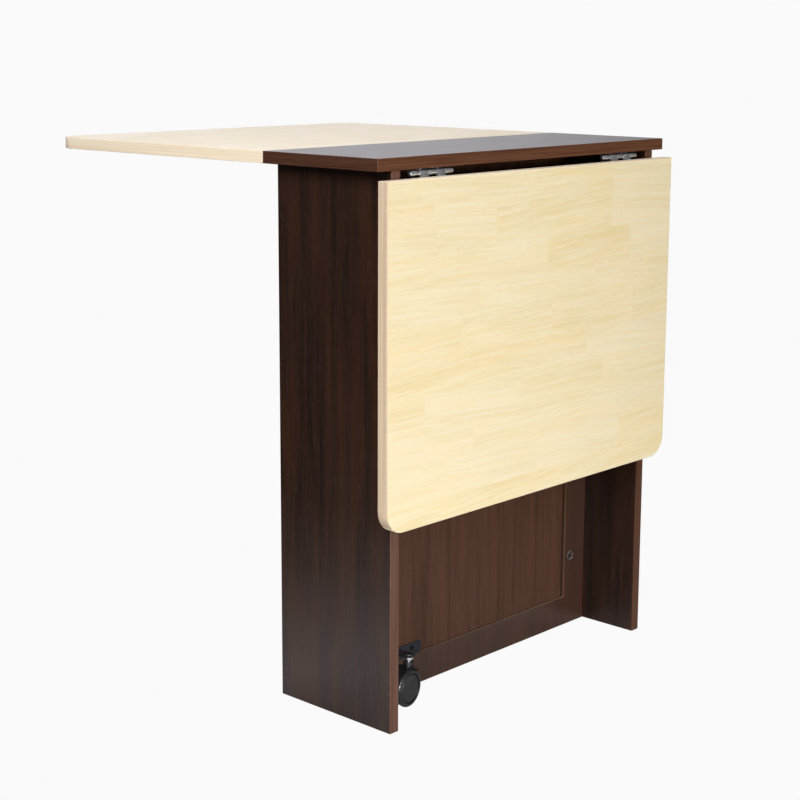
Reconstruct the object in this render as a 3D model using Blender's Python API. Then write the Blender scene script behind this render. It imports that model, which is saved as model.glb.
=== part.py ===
"""Drop-leaf table with two folding leaves, propped by two wheeled gates.

Metres, +Z up. The origin is on the floor under the middle of the centre board, +X runs along the table
and -Y is the front, where one leaf hangs. The rear leaf is level.
"""
import math

import bmesh
import bpy
from mathutils import Matrix, Vector

# Boards
TABLE_HEIGHT = 0.740
TOP_LENGTH = 0.600
TOP_DEPTH = 0.203
BOARD = 0.016
END_OVERHANG = 0.025
SIDE_SETBACK = 0.0005
LEAF_WIDTH = 0.440
LEAF_CORNER_RADIUS = 0.030
LEAF_JOINT_GAP = 0.001

# Centre board and gates
STILE_WIDTH = 0.049
RAIL_HEIGHT = 0.0455
HINGE_KERF = 0.008
FREE_KERF = 0.004
FLOOR_KERF = 0.0015
REAR_GATE_OVERLAP = 0.020
GATE_UNDER_KNUCKLE = 0.0008
GATE_HINGE_FROM_BOTTOM = 0.253
GATE_HINGE_FROM_TOP = 0.1125

# Clearances
SEAT_GAP = 0.0003
RUNNING_GAP = 0.0003

# Butt hinges of the leaves
LEAF_HINGE_LENGTH = 0.078
LEAF_HINGE_FROM_END = 0.101
LEAF_HINGE_RADIUS = 0.0052
LEAF_HINGE_INSET = 0.005
LEAF_HINGE_PLATE = 0.002
LEAF_HINGE_REACH = 0.032
LEAF_HINGE_SCREW_ROW = 0.020
LEAF_HINGE_SCREW_PITCH = 0.046
LEAF_HINGE_KNUCKLES = 5

# Butt hinges of the gates
GATE_HINGE_LENGTH = 0.060
GATE_HINGE_PLATE = 0.0018
GATE_HINGE_REACH = 0.0115
GATE_HINGE_SCREW_ROW = 0.0078
GATE_HINGE_SCREW_PITCH = 0.032
GATE_HINGE_KNUCKLES = 3

# Hinge pins and countersunk screws
PIN_RADIUS = 0.002
PIN_HEAD_RADIUS = 0.0032
PIN_HEAD_HEIGHT = 0.0012
SCREW_HEAD_RADIUS = 0.0034
SCREW_SHANK_RADIUS = 0.0016
SMALL_SCREW_HEAD_RADIUS = 0.0024
SMALL_SCREW_SHANK_RADIUS = 0.0012
COUNTERSINK_DEPTH = 0.0014
SCREW_LENGTH = 0.012

# Cam locks
CAM_RADIUS = 0.0075
CAM_DEPTH = 0.0125
CAM_FROM_EDGE = 0.034
CAM_SLOT_LENGTH = 0.0105
CAM_SLOT_WIDTH = 0.0025
CAM_SLOT_DEPTH = 0.002
CENTRE_CAM_FROM_FLOOR = 0.107
CENTRE_CAM_FROM_TOP = 0.084
TOP_CAM_FROM_MIDDLE = 0.060

# Castors
CASTOR_STAND_OFF = 0.0385
CASTOR_FROM_FREE_END = 0.025
CASTOR_TRAIL = 0.010
CASTOR_TURN = math.radians(8)
WHEEL_RADIUS = 0.026
WHEEL_WIDTH = 0.0075
WHEEL_ROUNDING = 0.0025
WHEEL_RIM = 0.0035
WHEEL_DISH = 0.0014
WHEEL_DISH_SLOPE = 0.002
DISC_WALL = 0.002
WEB_HALF_WIDTH = 0.003
WEB_FOOT_RADIUS = 0.009
WHEEL_SIDE_GAP = 0.0005
FENDER_GAP = 0.0008
FENDER_WALL = 0.0016
FENDER_START = math.radians(20)
FENDER_END = math.radians(155)
AXLE_RADIUS = 0.0025
BOSS_RADIUS = 0.007
BOSS_TOP = 0.060
STEM_RADIUS = 0.004
STEM_SHOULDER = 0.0532
STEM_TIP_RADIUS = 0.0017
STEM_TIP = 0.036
COLLAR_RADIUS = 0.0075
COLLAR_HEIGHT = 0.005
RIVET_RADIUS = 0.0065
RIVET_CROWN_RADIUS = 0.005
RIVET_HEIGHT = 0.0022

# Castor brackets
BRACKET_PLATE = 0.002
BRACKET_LENGTH = 0.086
BRACKET_FROM_FREE_END = 0.004
BRACKET_BOTTOM = 0.0455
BRACKET_TOP = 0.0632
BRACKET_STEP = 0.015
TONGUE_TOP = 0.0686
TONGUE_HALF_WIDTH = 0.0085
BRACKET_SCREW_HEIGHT = 0.0565
BRACKET_SCREW_LEFT = 0.006
BRACKET_SCREW_RIGHT = 0.019

# Rest blocks under the leaves
BLOCK_LENGTH = 0.050
BLOCK_WIDTH = 0.044
BLOCK_LIP = 0.012
BLOCK_FROM_GATE_END = 0.030

# Facets round a full turn
ROUND = 16
SMALL_ROUND = 10
WHEEL_ROUND = 24
HEX = 6
SMOOTH_ANGLE = math.radians(35)

# Places that follow from the sizes above
UNDERSIDE = TABLE_HEIGHT - BOARD
TOP_HALF = TOP_LENGTH / 2
DEPTH_HALF = TOP_DEPTH / 2
SIDE_INNER = TOP_HALF - END_OVERHANG - BOARD
SIDE_HALF_DEPTH = DEPTH_HALF - SIDE_SETBACK
CENTRE_HALF = SIDE_INNER - SEAT_GAP
OPENING_HALF = SIDE_INNER - STILE_WIDTH
SHEET_FACE = BOARD / 2
CENTRE_CAM_HEIGHTS = (CENTRE_CAM_FROM_FLOOR, UNDERSIDE - CENTRE_CAM_FROM_TOP)

LEAF_HINGE_DROP = LEAF_HINGE_RADIUS + SEAT_GAP
LEAF_AXIS_HEIGHT = UNDERSIDE - LEAF_HINGE_DROP
LEAF_AXIS_Y = DEPTH_HALF - LEAF_HINGE_INSET
LEAF_EDGE = LEAF_HINGE_INSET + LEAF_JOINT_GAP
LEAF_HINGE_X = TOP_HALF - LEAF_HINGE_FROM_END

GATE_TOP = LEAF_AXIS_HEIGHT - LEAF_HINGE_RADIUS - GATE_UNDER_KNUCKLE
GATE_BOTTOM = RAIL_HEIGHT + FLOOR_KERF
GATE_HINGE_HEIGHTS = (GATE_BOTTOM + GATE_HINGE_FROM_BOTTOM, GATE_TOP - GATE_HINGE_FROM_TOP)
GATE_FREE_END = -OPENING_HALF + FREE_KERF
GATE_HINGE_SEAT = HINGE_KERF / 2
GATE_HINGE_RADIUS = GATE_HINGE_SEAT - SEAT_GAP
FRONT_AXIS = Vector((OPENING_HALF - GATE_HINGE_SEAT, -SHEET_FACE - GATE_HINGE_SEAT, 0))
REAR_GATE_END = OPENING_HALF + REAR_GATE_OVERLAP
REAR_AXIS = Vector((REAR_GATE_END + GATE_HINGE_SEAT, SHEET_FACE + GATE_HINGE_SEAT, 0))
REAR_GATE_FACE = SHEET_FACE + RUNNING_GAP

AXLE_HEIGHT = WHEEL_RADIUS + SEAT_GAP
WHEEL_INNER = WEB_HALF_WIDTH + WHEEL_SIDE_GAP
WHEEL_OUTER = WHEEL_INNER + WHEEL_WIDTH
AXLE_HALF = WHEEL_OUTER - WHEEL_DISH - DISC_WALL
FENDER_INSIDE = WHEEL_RADIUS + FENDER_GAP
FENDER_OUTSIDE = FENDER_INSIDE + FENDER_WALL
STEM_X = GATE_FREE_END + CASTOR_FROM_FREE_END
BRACKET_LEFT = BRACKET_FROM_FREE_END - CASTOR_FROM_FREE_END
BRACKET_RIGHT = BRACKET_LEFT + BRACKET_LENGTH

X_AXIS = Vector((1, 0, 0))
Y_AXIS = Vector((0, 1, 0))
Z_AXIS = Vector((0, 0, 1))
HERE = Matrix.Identity(4)


def clear_scene():
    for old in list(bpy.data.objects):
        bpy.data.objects.remove(old)


def make_material(name, colour, roughness, metallic=0.0):
    material = bpy.data.materials.new(name)
    material.use_nodes = True
    shader = material.node_tree.nodes["Principled BSDF"]
    shader.inputs["Base Color"].default_value = (*colour, 1)
    shader.inputs["Roughness"].default_value = roughness
    shader.inputs["Metallic"].default_value = metallic
    return material


def axes_matrix(y_axis, z_axis, place=Vector((0, 0, 0))):
    """Turn local Y and Z to the given directions and move the origin to a place."""
    x_axis = y_axis.cross(z_axis)
    turn = Matrix((x_axis, y_axis, z_axis)).transposed().to_4x4()
    return Matrix.Translation(place) @ turn


# Local X stays along X, local Y points up and local Z points to the front
UPRIGHT = axes_matrix(Z_AXIS, -Y_AXIS)


def add_empty(name, matrix, parent=None):
    empty = bpy.data.objects.new(name, None)
    bpy.context.collection.objects.link(empty)
    empty.parent = parent
    empty.matrix_local = matrix
    return empty


def add_object(name, mesh, material, parent, matrix=HERE):
    """Link a piece, smooth on round walls and sharp on its edges."""
    made = bpy.data.objects.new(name, mesh)
    bpy.context.collection.objects.link(made)
    made.parent = parent
    made.matrix_local = matrix
    mesh.materials.clear()
    mesh.materials.append(material)
    mesh.shade_smooth()
    mesh.set_sharp_from_angle(angle=SMOOTH_ANGLE)
    return made


def finish_mesh(shape):
    """Turn a bmesh into mesh data with its faces outward."""
    mesh = bpy.data.meshes.new("shape")
    bmesh.ops.recalc_face_normals(shape, faces=shape.faces)
    shape.to_mesh(mesh)
    shape.free()
    return mesh


def combine(mesh, shape, operation):
    """Boolean of mesh data with a closed bmesh, applied."""
    tool = bpy.data.objects.new("tool", finish_mesh(shape))
    work = bpy.data.objects.new("work", mesh)
    for piece in (tool, work):
        bpy.context.collection.objects.link(piece)
    modifier = work.modifiers.new("combine", "BOOLEAN")
    modifier.operation = operation
    modifier.object = tool
    seen = work.evaluated_get(bpy.context.evaluated_depsgraph_get())
    result = bpy.data.meshes.new_from_object(seen)
    bpy.data.objects.remove(work)
    bpy.data.objects.remove(tool)
    return result


def cut(mesh, shape):
    return combine(mesh, shape, "DIFFERENCE")


def join(mesh, shape):
    return combine(mesh, shape, "UNION")


def box(shape, low, high):
    """Add a closed box between two corners."""
    made = bmesh.ops.create_cube(shape, size=1)["verts"]
    middle = (Vector(low) + Vector(high)) / 2
    size = Vector(high) - Vector(low)
    fit = Matrix.Translation(middle) @ Matrix.Diagonal((*size, 1))
    bmesh.ops.transform(shape, matrix=fit, verts=made)


def prism(shape, outline, matrix, depth):
    """Extrude a flat outline by a depth along local Z of the matrix."""
    corners = [shape.verts.new(matrix @ Vector((x, y, 0))) for x, y in outline]
    face = shape.faces.new(corners)
    moved = bmesh.ops.extrude_face_region(shape, geom=[face])["geom"]
    lifted = [item for item in moved if isinstance(item, bmesh.types.BMVert)]
    bmesh.ops.translate(shape, vec=matrix.to_3x3() @ Vector((0, 0, depth)), verts=lifted)


def arc_points(radius, start, end, steps, centre=(0, 0)):
    """Points of an arc from one angle to another."""
    turns = [start + (end - start) * step / steps for step in range(steps + 1)]
    return [(centre[0] + radius * math.cos(turn), centre[1] + radius * math.sin(turn)) for turn in turns]


def cylinder(shape, radius, bottom, top, matrix=HERE, steps=ROUND):
    """Add a closed cylinder along local Z."""
    outline = arc_points(radius, 0, math.tau, steps)[:-1]
    prism(shape, outline, matrix @ Matrix.Translation((0, 0, bottom)), top - bottom)


def turned(shape, profile, matrix=HERE, steps=ROUND):
    """Spin a profile of (radius, height) points round local Z; it closes on the axis or on itself."""
    rings = []
    for radius, height in profile:
        points = [(0, 0)] if radius == 0 else arc_points(radius, 0, math.tau, steps)[:-1]
        rings.append([shape.verts.new(matrix @ Vector((x, y, height))) for x, y in points])
    pairs = list(zip(rings, rings[1:]))
    if profile[0][0] > 0:
        pairs.append((rings[-1], rings[0]))
    for first, second in pairs:
        for step in range(steps):
            after = step + 1
            corners = [first[step % len(first)], first[after % len(first)]]
            corners += [second[after % len(second)], second[step % len(second)]]
            shape.faces.new(dict.fromkeys(corners))


def countersunk_hole(shape, place, head, shank):
    """Add the cutter of a screw hole: the head's flat lies at local zero, the shank runs along +Z."""
    head += SEAT_GAP
    shank += SEAT_GAP
    end = SCREW_LENGTH + SEAT_GAP
    profile = [(0, -end), (head, -end), (head, 0), (shank, COUNTERSINK_DEPTH), (shank, end), (0, end)]
    turned(shape, profile, place, SMALL_ROUND)


def knuckle_spans(length, count, first):
    """Every second knuckle of a barrel, from the first or the second one on, with running gaps between."""
    step = length / count
    spans = []
    for index in range(first, count, 2):
        low = RUNNING_GAP / 2 if index > 0 else 0
        high = RUNNING_GAP / 2 if index < count - 1 else 0
        start = -length / 2 + index * step
        spans.append((start + low, start + step - high))
    return spans


def hinge_plate_mesh(length, radius, plate, reach, spans, screw_row, screw_pitch, head, shank):
    """One half of a butt hinge: barrel along X, plate along +Y, seat face at Z = radius.

    Between its own knuckles the plate stops short of the other half's barrel.
    """
    clear = radius + RUNNING_GAP
    open_face = radius - plate
    shape = bmesh.new()
    box(shape, (-length / 2, clear, open_face), (length / 2, reach, radius))
    mesh = finish_mesh(shape)
    lip = math.asin(open_face / radius)
    outline = arc_points(radius, math.radians(90), math.radians(360) + lip, ROUND)
    outline += [(clear + plate, open_face), (clear + plate, radius)]
    for start, end in spans:
        knuckle = bmesh.new()
        prism(knuckle, outline, axes_matrix(Z_AXIS, X_AXIS, X_AXIS * start), end - start)
        mesh = join(mesh, knuckle)
    bore = bmesh.new()
    cylinder(bore, PIN_RADIUS + RUNNING_GAP, -length, length, axes_matrix(Z_AXIS, X_AXIS), SMALL_ROUND)
    mesh = cut(mesh, bore)
    holes = bmesh.new()
    for side in (-1, 1):
        place = Matrix.Translation((side * screw_pitch / 2, screw_row, open_face))
        countersunk_hole(holes, place, head, shank)
    return cut(mesh, holes)


def pin_mesh(length):
    """Hinge pin along X with a small head at each end of the barrel."""
    half = length / 2 + RUNNING_GAP
    end = half + PIN_HEAD_HEIGHT
    profile = [(0, -end), (PIN_HEAD_RADIUS, -end), (PIN_HEAD_RADIUS, -half), (PIN_RADIUS, -half)]
    profile += [(radius, -height) for radius, height in reversed(profile)]
    shape = bmesh.new()
    turned(shape, profile, axes_matrix(Z_AXIS, X_AXIS), SMALL_ROUND)
    return finish_mesh(shape)


def hinge_meshes(length, radius, count, *plate_sizes):
    """Meshes of a butt hinge: fixed plate, swinging plate and pin."""
    plate, reach, *screw_sizes = plate_sizes
    plates = []
    for first in (0, 1):
        spans = knuckle_spans(length, count, first)
        plates.append(hinge_plate_mesh(length, radius, plate, reach, spans, *screw_sizes))
    return (*plates, pin_mesh(length))


def cam_mesh():
    """Round cam lock with a straight driver slot, its open face near local zero."""
    shape = bmesh.new()
    cylinder(shape, CAM_RADIUS, SEAT_GAP, CAM_DEPTH)
    slot = bmesh.new()
    half = Vector((CAM_SLOT_LENGTH, CAM_SLOT_WIDTH, CAM_SLOT_DEPTH * 2)) / 2
    box(slot, -half, half)
    return cut(finish_mesh(shape), slot)


def cam_holes(places):
    """One cutter for the blind bores of cam locks."""
    holes = bmesh.new()
    for place in places:
        cylinder(holes, CAM_RADIUS + SEAT_GAP, -BOARD, CAM_DEPTH + SEAT_GAP, place)
    return holes


def leaf_mesh():
    """Board with two rounded outer corners, in its hinge frame: Y away from the axis, Z to the board."""
    inner = TOP_HALF - LEAF_CORNER_RADIUS
    middle = LEAF_EDGE + LEAF_WIDTH - LEAF_CORNER_RADIUS
    quarter = math.radians(90)
    outline = [(TOP_HALF, LEAF_EDGE)]
    outline += arc_points(LEAF_CORNER_RADIUS, 0, quarter, ROUND // 2, (inner, middle))
    outline += arc_points(LEAF_CORNER_RADIUS, quarter, 2 * quarter, ROUND // 2, (-inner, middle))
    outline += [(-TOP_HALF, LEAF_EDGE)]
    shape = bmesh.new()
    prism(shape, outline, Matrix.Translation((0, 0, LEAF_HINGE_DROP)), BOARD)
    return finish_mesh(shape)


def rest_block_mesh(stop_side):
    """Stepped block under a leaf: the gate's upper edge bears on the thin part and stops at the lip."""
    seat = -SEAT_GAP
    bearing = GATE_TOP - UNDERSIDE + RUNNING_GAP
    tip = bearing - BLOCK_LIP
    width = -stop_side * BLOCK_WIDTH
    lip = -stop_side * BLOCK_LIP
    outline = [(0, seat), (width, seat), (width, bearing), (lip, bearing), (lip, tip), (0, tip)]
    shape = bmesh.new()
    prism(shape, outline, UPRIGHT, BLOCK_LENGTH)
    return finish_mesh(shape)


def bracket_screw_places(side):
    """Screws through a bracket's upright plate into the gate, in the frame of the stem at the gate's face."""
    places = {}
    for name, x in (("left", BRACKET_LEFT + BRACKET_SCREW_LEFT), ("right", BRACKET_RIGHT - BRACKET_SCREW_RIGHT)):
        face = Vector((x, side * (SEAT_GAP + BRACKET_PLATE), BRACKET_SCREW_HEIGHT))
        places[name] = axes_matrix(Z_AXIS, -side * Y_AXIS, face)
    return places


def bracket_holes(places):
    """One cutter for the screw holes of a bracket and of the gate behind it."""
    holes = bmesh.new()
    for place in places:
        countersunk_hole(holes, place, SCREW_HEAD_RADIUS, SCREW_SHANK_RADIUS)
    return holes


def bracket_screw_mesh():
    """Countersunk screw along +Z with its head's flat at local zero."""
    shape = bmesh.new()
    shank = SCREW_SHANK_RADIUS
    profile = [(0, 0), (SCREW_HEAD_RADIUS, 0), (shank, COUNTERSINK_DEPTH), (shank, SCREW_LENGTH), (0, SCREW_LENGTH)]
    turned(shape, profile, HERE, SMALL_ROUND)
    return finish_mesh(shape)


def bracket_mesh(side):
    """Angle bracket: stepped upright plate on the gate and a round-ended tongue that carries the castor's stem."""
    seat = side * SEAT_GAP
    face = side * (SEAT_GAP + BRACKET_PLATE)
    plate = [(BRACKET_LEFT, BRACKET_BOTTOM), (BRACKET_RIGHT, BRACKET_BOTTOM), (BRACKET_RIGHT, BRACKET_TOP)]
    plate += [(BRACKET_STEP, BRACKET_TOP), (BRACKET_STEP, TONGUE_TOP), (BRACKET_LEFT, TONGUE_TOP)]
    shape = bmesh.new()
    prism(shape, plate, axes_matrix(Z_AXIS, -Y_AXIS, Y_AXIS * seat), -side * BRACKET_PLATE)
    half = TONGUE_HALF_WIDTH
    root = (seat + face) / 2
    middle = (0, side * CASTOR_STAND_OFF)
    outline = [(half, root)] + arc_points(half, 0, side * math.pi, ROUND // 2, middle) + [(-half, root)]
    tongue = bmesh.new()
    prism(tongue, outline, Matrix.Translation((0, 0, TONGUE_TOP - BRACKET_PLATE)), BRACKET_PLATE)
    mesh = join(finish_mesh(shape), tongue)
    bore = bmesh.new()
    stem = Matrix.Translation((*middle, 0))
    cylinder(bore, STEM_RADIUS + SEAT_GAP, BRACKET_BOTTOM, TABLE_HEIGHT, stem)
    return cut(cut(mesh, bore), bracket_holes(bracket_screw_places(side).values()))


def stem_mesh():
    """Stepped stem with a six-sided collar under the tongue and a riveted end above it."""
    seat = TONGUE_TOP - BRACKET_PLATE - SEAT_GAP
    rivet = TONGUE_TOP + SEAT_GAP
    crown = rivet + RIVET_HEIGHT
    tip = STEM_TIP + SEAT_GAP
    shoulder = STEM_SHOULDER + SEAT_GAP
    profile = [(0, tip), (STEM_TIP_RADIUS, tip), (STEM_TIP_RADIUS, shoulder), (STEM_RADIUS, shoulder)]
    profile += [(STEM_RADIUS, rivet), (RIVET_RADIUS, rivet), (RIVET_CROWN_RADIUS, crown), (0, crown)]
    shape = bmesh.new()
    turned(shape, profile)
    collar = bmesh.new()
    cylinder(collar, COLLAR_RADIUS, seat - COLLAR_HEIGHT, seat, HERE, HEX)
    return join(finish_mesh(shape), collar)


def hood_mesh():
    """Castor body with its axle at the origin: web between the wheels, arched fender and a boss for the stem."""
    arch = arc_points(FENDER_OUTSIDE, FENDER_START, FENDER_END, ROUND)
    arch += arc_points(FENDER_INSIDE, FENDER_END, FENDER_START, ROUND)
    shape = bmesh.new()
    prism(shape, arch, UPRIGHT @ Matrix.Translation((0, 0, -WHEEL_OUTER)), 2 * WHEEL_OUTER)
    mesh = finish_mesh(shape)
    web = arc_points(WEB_FOOT_RADIUS, FENDER_END, FENDER_START + math.tau, ROUND // 2)
    web += arc_points((FENDER_INSIDE + FENDER_OUTSIDE) / 2, FENDER_START, FENDER_END, ROUND)
    shape = bmesh.new()
    prism(shape, web, UPRIGHT @ Matrix.Translation((0, 0, -WEB_HALF_WIDTH)), 2 * WEB_HALF_WIDTH)
    mesh = join(mesh, shape)
    stem = Matrix.Translation((CASTOR_TRAIL, 0, -AXLE_HEIGHT))
    shape = bmesh.new()
    cylinder(shape, BOSS_RADIUS, AXLE_HEIGHT, BOSS_TOP, stem)
    hollow = bmesh.new()
    cylinder(hollow, (FENDER_INSIDE + FENDER_OUTSIDE) / 2, -WHEEL_OUTER, WHEEL_OUTER, UPRIGHT, 2 * ROUND)
    boss = bmesh.new()
    boss.from_mesh(cut(finish_mesh(shape), hollow))
    mesh = join(mesh, boss)
    radius = STEM_RADIUS + RUNNING_GAP
    tip = STEM_TIP_RADIUS + RUNNING_GAP
    profile = [(0, STEM_TIP), (tip, STEM_TIP), (tip, STEM_SHOULDER), (radius, STEM_SHOULDER)]
    profile += [(radius, TONGUE_TOP), (0, TONGUE_TOP)]
    bores = bmesh.new()
    turned(bores, profile, stem)
    cylinder(bores, AXLE_RADIUS + SEAT_GAP, -WHEEL_OUTER, WHEEL_OUTER, UPRIGHT, SMALL_ROUND)
    return cut(mesh, bores)


def axle_mesh():
    shape = bmesh.new()
    cylinder(shape, AXLE_RADIUS, -AXLE_HALF, AXLE_HALF, UPRIGHT, SMALL_ROUND)
    return finish_mesh(shape)


def wheel_mesh():
    """Castor wheel with a closed, dished outer disc, turned round local Z, the castor's middle at local zero."""
    bore = AXLE_RADIUS + RUNNING_GAP
    blind = AXLE_HALF + RUNNING_GAP
    rim = WHEEL_RADIUS - WHEEL_RIM
    tread = WHEEL_RADIUS - WHEEL_ROUNDING
    dish = WHEEL_OUTER - WHEEL_DISH
    profile = [
        (0, blind),
        (bore, blind),
        (bore, WHEEL_INNER),
        (tread, WHEEL_INNER),
        (WHEEL_RADIUS, WHEEL_INNER + WHEEL_ROUNDING),
        (WHEEL_RADIUS, WHEEL_OUTER - WHEEL_ROUNDING),
        (tread, WHEEL_OUTER),
        (rim, WHEEL_OUTER),
        (rim - WHEEL_DISH_SLOPE, dish),
        (0, dish),
    ]
    shape = bmesh.new()
    turned(shape, profile, HERE, WHEEL_ROUND)
    return finish_mesh(shape)


def build_carcass(carcass, wenge, steel):
    """Fixed top, side panels and centre board with their cam locks."""
    shape = bmesh.new()
    box(shape, (-TOP_HALF, -DEPTH_HALF, UNDERSIDE), (TOP_HALF, DEPTH_HALF, TABLE_HEIGHT))
    add_object("top_panel", finish_mesh(shape), wenge, carcass)

    lock = cam_mesh()
    board_top = UNDERSIDE - SEAT_GAP
    centre_places = []
    for side, name in ((-1, "left"), (1, "right")):
        for height, level in zip(CENTRE_CAM_HEIGHTS, ("lower", "upper")):
            seat = Vector((side * (SIDE_INNER - CAM_FROM_EDGE), -SHEET_FACE, height))
            place = axes_matrix(Z_AXIS, Y_AXIS, seat)
            centre_places.append(place)
            add_object(f"{name}_{level}_centre_cam", lock, steel, carcass, place)
        top_places = []
        for end, row in ((-1, "front"), (1, "rear")):
            seat = Vector((side * SIDE_INNER, end * TOP_CAM_FROM_MIDDLE, UNDERSIDE - CAM_FROM_EDGE))
            place = axes_matrix(Z_AXIS, side * X_AXIS, seat)
            top_places.append(place)
            add_object(f"{name}_{row}_top_cam", lock, steel, carcass, place)
        shape = bmesh.new()
        middle = side * (SIDE_INNER + BOARD / 2)
        low = (middle - BOARD / 2, -SIDE_HALF_DEPTH, 0)
        box(shape, low, (middle + BOARD / 2, SIDE_HALF_DEPTH, board_top))
        add_object(f"{name}_side_panel", cut(finish_mesh(shape), cam_holes(top_places)), wenge, carcass)

    right = [(CENTRE_HALF, 0), (CENTRE_HALF, board_top), (OPENING_HALF, board_top), (OPENING_HALF, RAIL_HEIGHT)]
    outline = right + [(-x, z) for x, z in reversed(right)]
    shape = bmesh.new()
    prism(shape, outline, axes_matrix(Z_AXIS, -Y_AXIS, Y_AXIS * SHEET_FACE), BOARD)
    add_object("centre_panel", cut(finish_mesh(shape), cam_holes(centre_places)), wenge, carcass)


def build_castor(name, side, gate, seat, black, steel):
    """Bracket, stem, swivelling hood, axle and two wheels at a gate's free end."""
    add_object(f"{name}_bracket", bracket_mesh(side), black, gate, seat)
    screw = bracket_screw_mesh()
    for end, place in bracket_screw_places(side).items():
        add_object(f"{name}_{end}_screw", screw, black, gate, seat @ place)
    stem_place = seat @ Matrix.Translation((0, side * CASTOR_STAND_OFF, 0))
    add_object(f"{name}_stem", stem_mesh(), steel, gate, stem_place)
    swivel = add_empty(f"{name}_swivel", stem_place @ Matrix.Rotation(-side * CASTOR_TURN, 4, "Z"), gate)
    axle_place = Matrix.Translation((-CASTOR_TRAIL, 0, AXLE_HEIGHT))
    add_object(f"{name}_hood", hood_mesh(), black, swivel, axle_place)
    add_object(f"{name}_axle", axle_mesh(), steel, swivel, axle_place)
    wheel = wheel_mesh()
    for facing, end in ((-1, "front"), (1, "rear")):
        spin = add_empty(f"{name}_{end}_spin", axle_place @ axes_matrix(Z_AXIS, facing * Y_AXIS), swivel)
        add_object(f"{name}_{end}_wheel", wheel, black, spin)


def build_gate(row, side, carcass, low, high, hinge, stile_turn, wenge, steel, black):
    """A gate on its hinge axis, with its hinges and castor; its free end is at the left."""
    axis_place = FRONT_AXIS if side < 0 else REAR_AXIS
    gate = add_empty(f"{row}_gate_axis", Matrix.Translation(axis_place))
    face = low.y if side < 0 else high.y
    seat = Matrix.Translation(Vector((STEM_X, face, 0)) - axis_place)
    shape = bmesh.new()
    box(shape, low - axis_place, high - axis_place)
    places = [seat @ place for place in bracket_screw_places(side).values()]
    add_object(f"{row}_gate", cut(finish_mesh(shape), bracket_holes(places)), wenge, gate)
    fixed_plate, swinging_plate, pin = hinge
    for height, level in zip(GATE_HINGE_HEIGHTS, ("lower", "upper")):
        rise = Z_AXIS * height
        fixed = Matrix.Translation(axis_place + rise) @ stile_turn
        add_object(f"{row}_{level}_stile_plate", fixed_plate, steel, carcass, fixed)
        add_object(f"{row}_{level}_gate_pin", pin, steel, carcass, fixed)
        add_object(f"{row}_{level}_gate_plate", swinging_plate, steel, gate, axes_matrix(Y_AXIS, -X_AXIS, rise))
    build_castor(f"{row}_castor", side, gate, seat, black, steel)


def build_leaf(row, side, carcass, fold, block_edge, gate_reach, hinge, maple, steel):
    """A leaf on its fold axis, with its hinges and rest block."""
    axis_place = Vector((0, side * LEAF_AXIS_Y, LEAF_AXIS_HEIGHT))
    level = Matrix.Translation(axis_place) @ axes_matrix(side * Y_AXIS, Z_AXIS)
    leaf = add_empty(f"{row}_leaf_axis", level @ Matrix.Rotation(fold, 4, "X"))
    add_object(f"{row}_leaf", leaf_mesh(), maple, leaf)
    fixed_plate, swinging_plate, pin = hinge
    for end, name in ((-1, "left"), (1, "right")):
        along = X_AXIS * end * LEAF_HINGE_X
        fixed = axes_matrix(-side * Y_AXIS, Z_AXIS, axis_place + along)
        add_object(f"{row}_{name}_top_plate", fixed_plate, steel, carcass, fixed)
        add_object(f"{row}_{name}_leaf_pin", pin, steel, carcass, fixed)
        add_object(f"{row}_{name}_leaf_plate", swinging_plate, steel, leaf, Matrix.Translation(side * along))
    place = Matrix.Translation((side * block_edge, gate_reach - BLOCK_FROM_GATE_END, LEAF_HINGE_DROP))
    add_object(f"{row}_leaf_rest_block", rest_block_mesh(side), maple, leaf, place)


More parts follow.
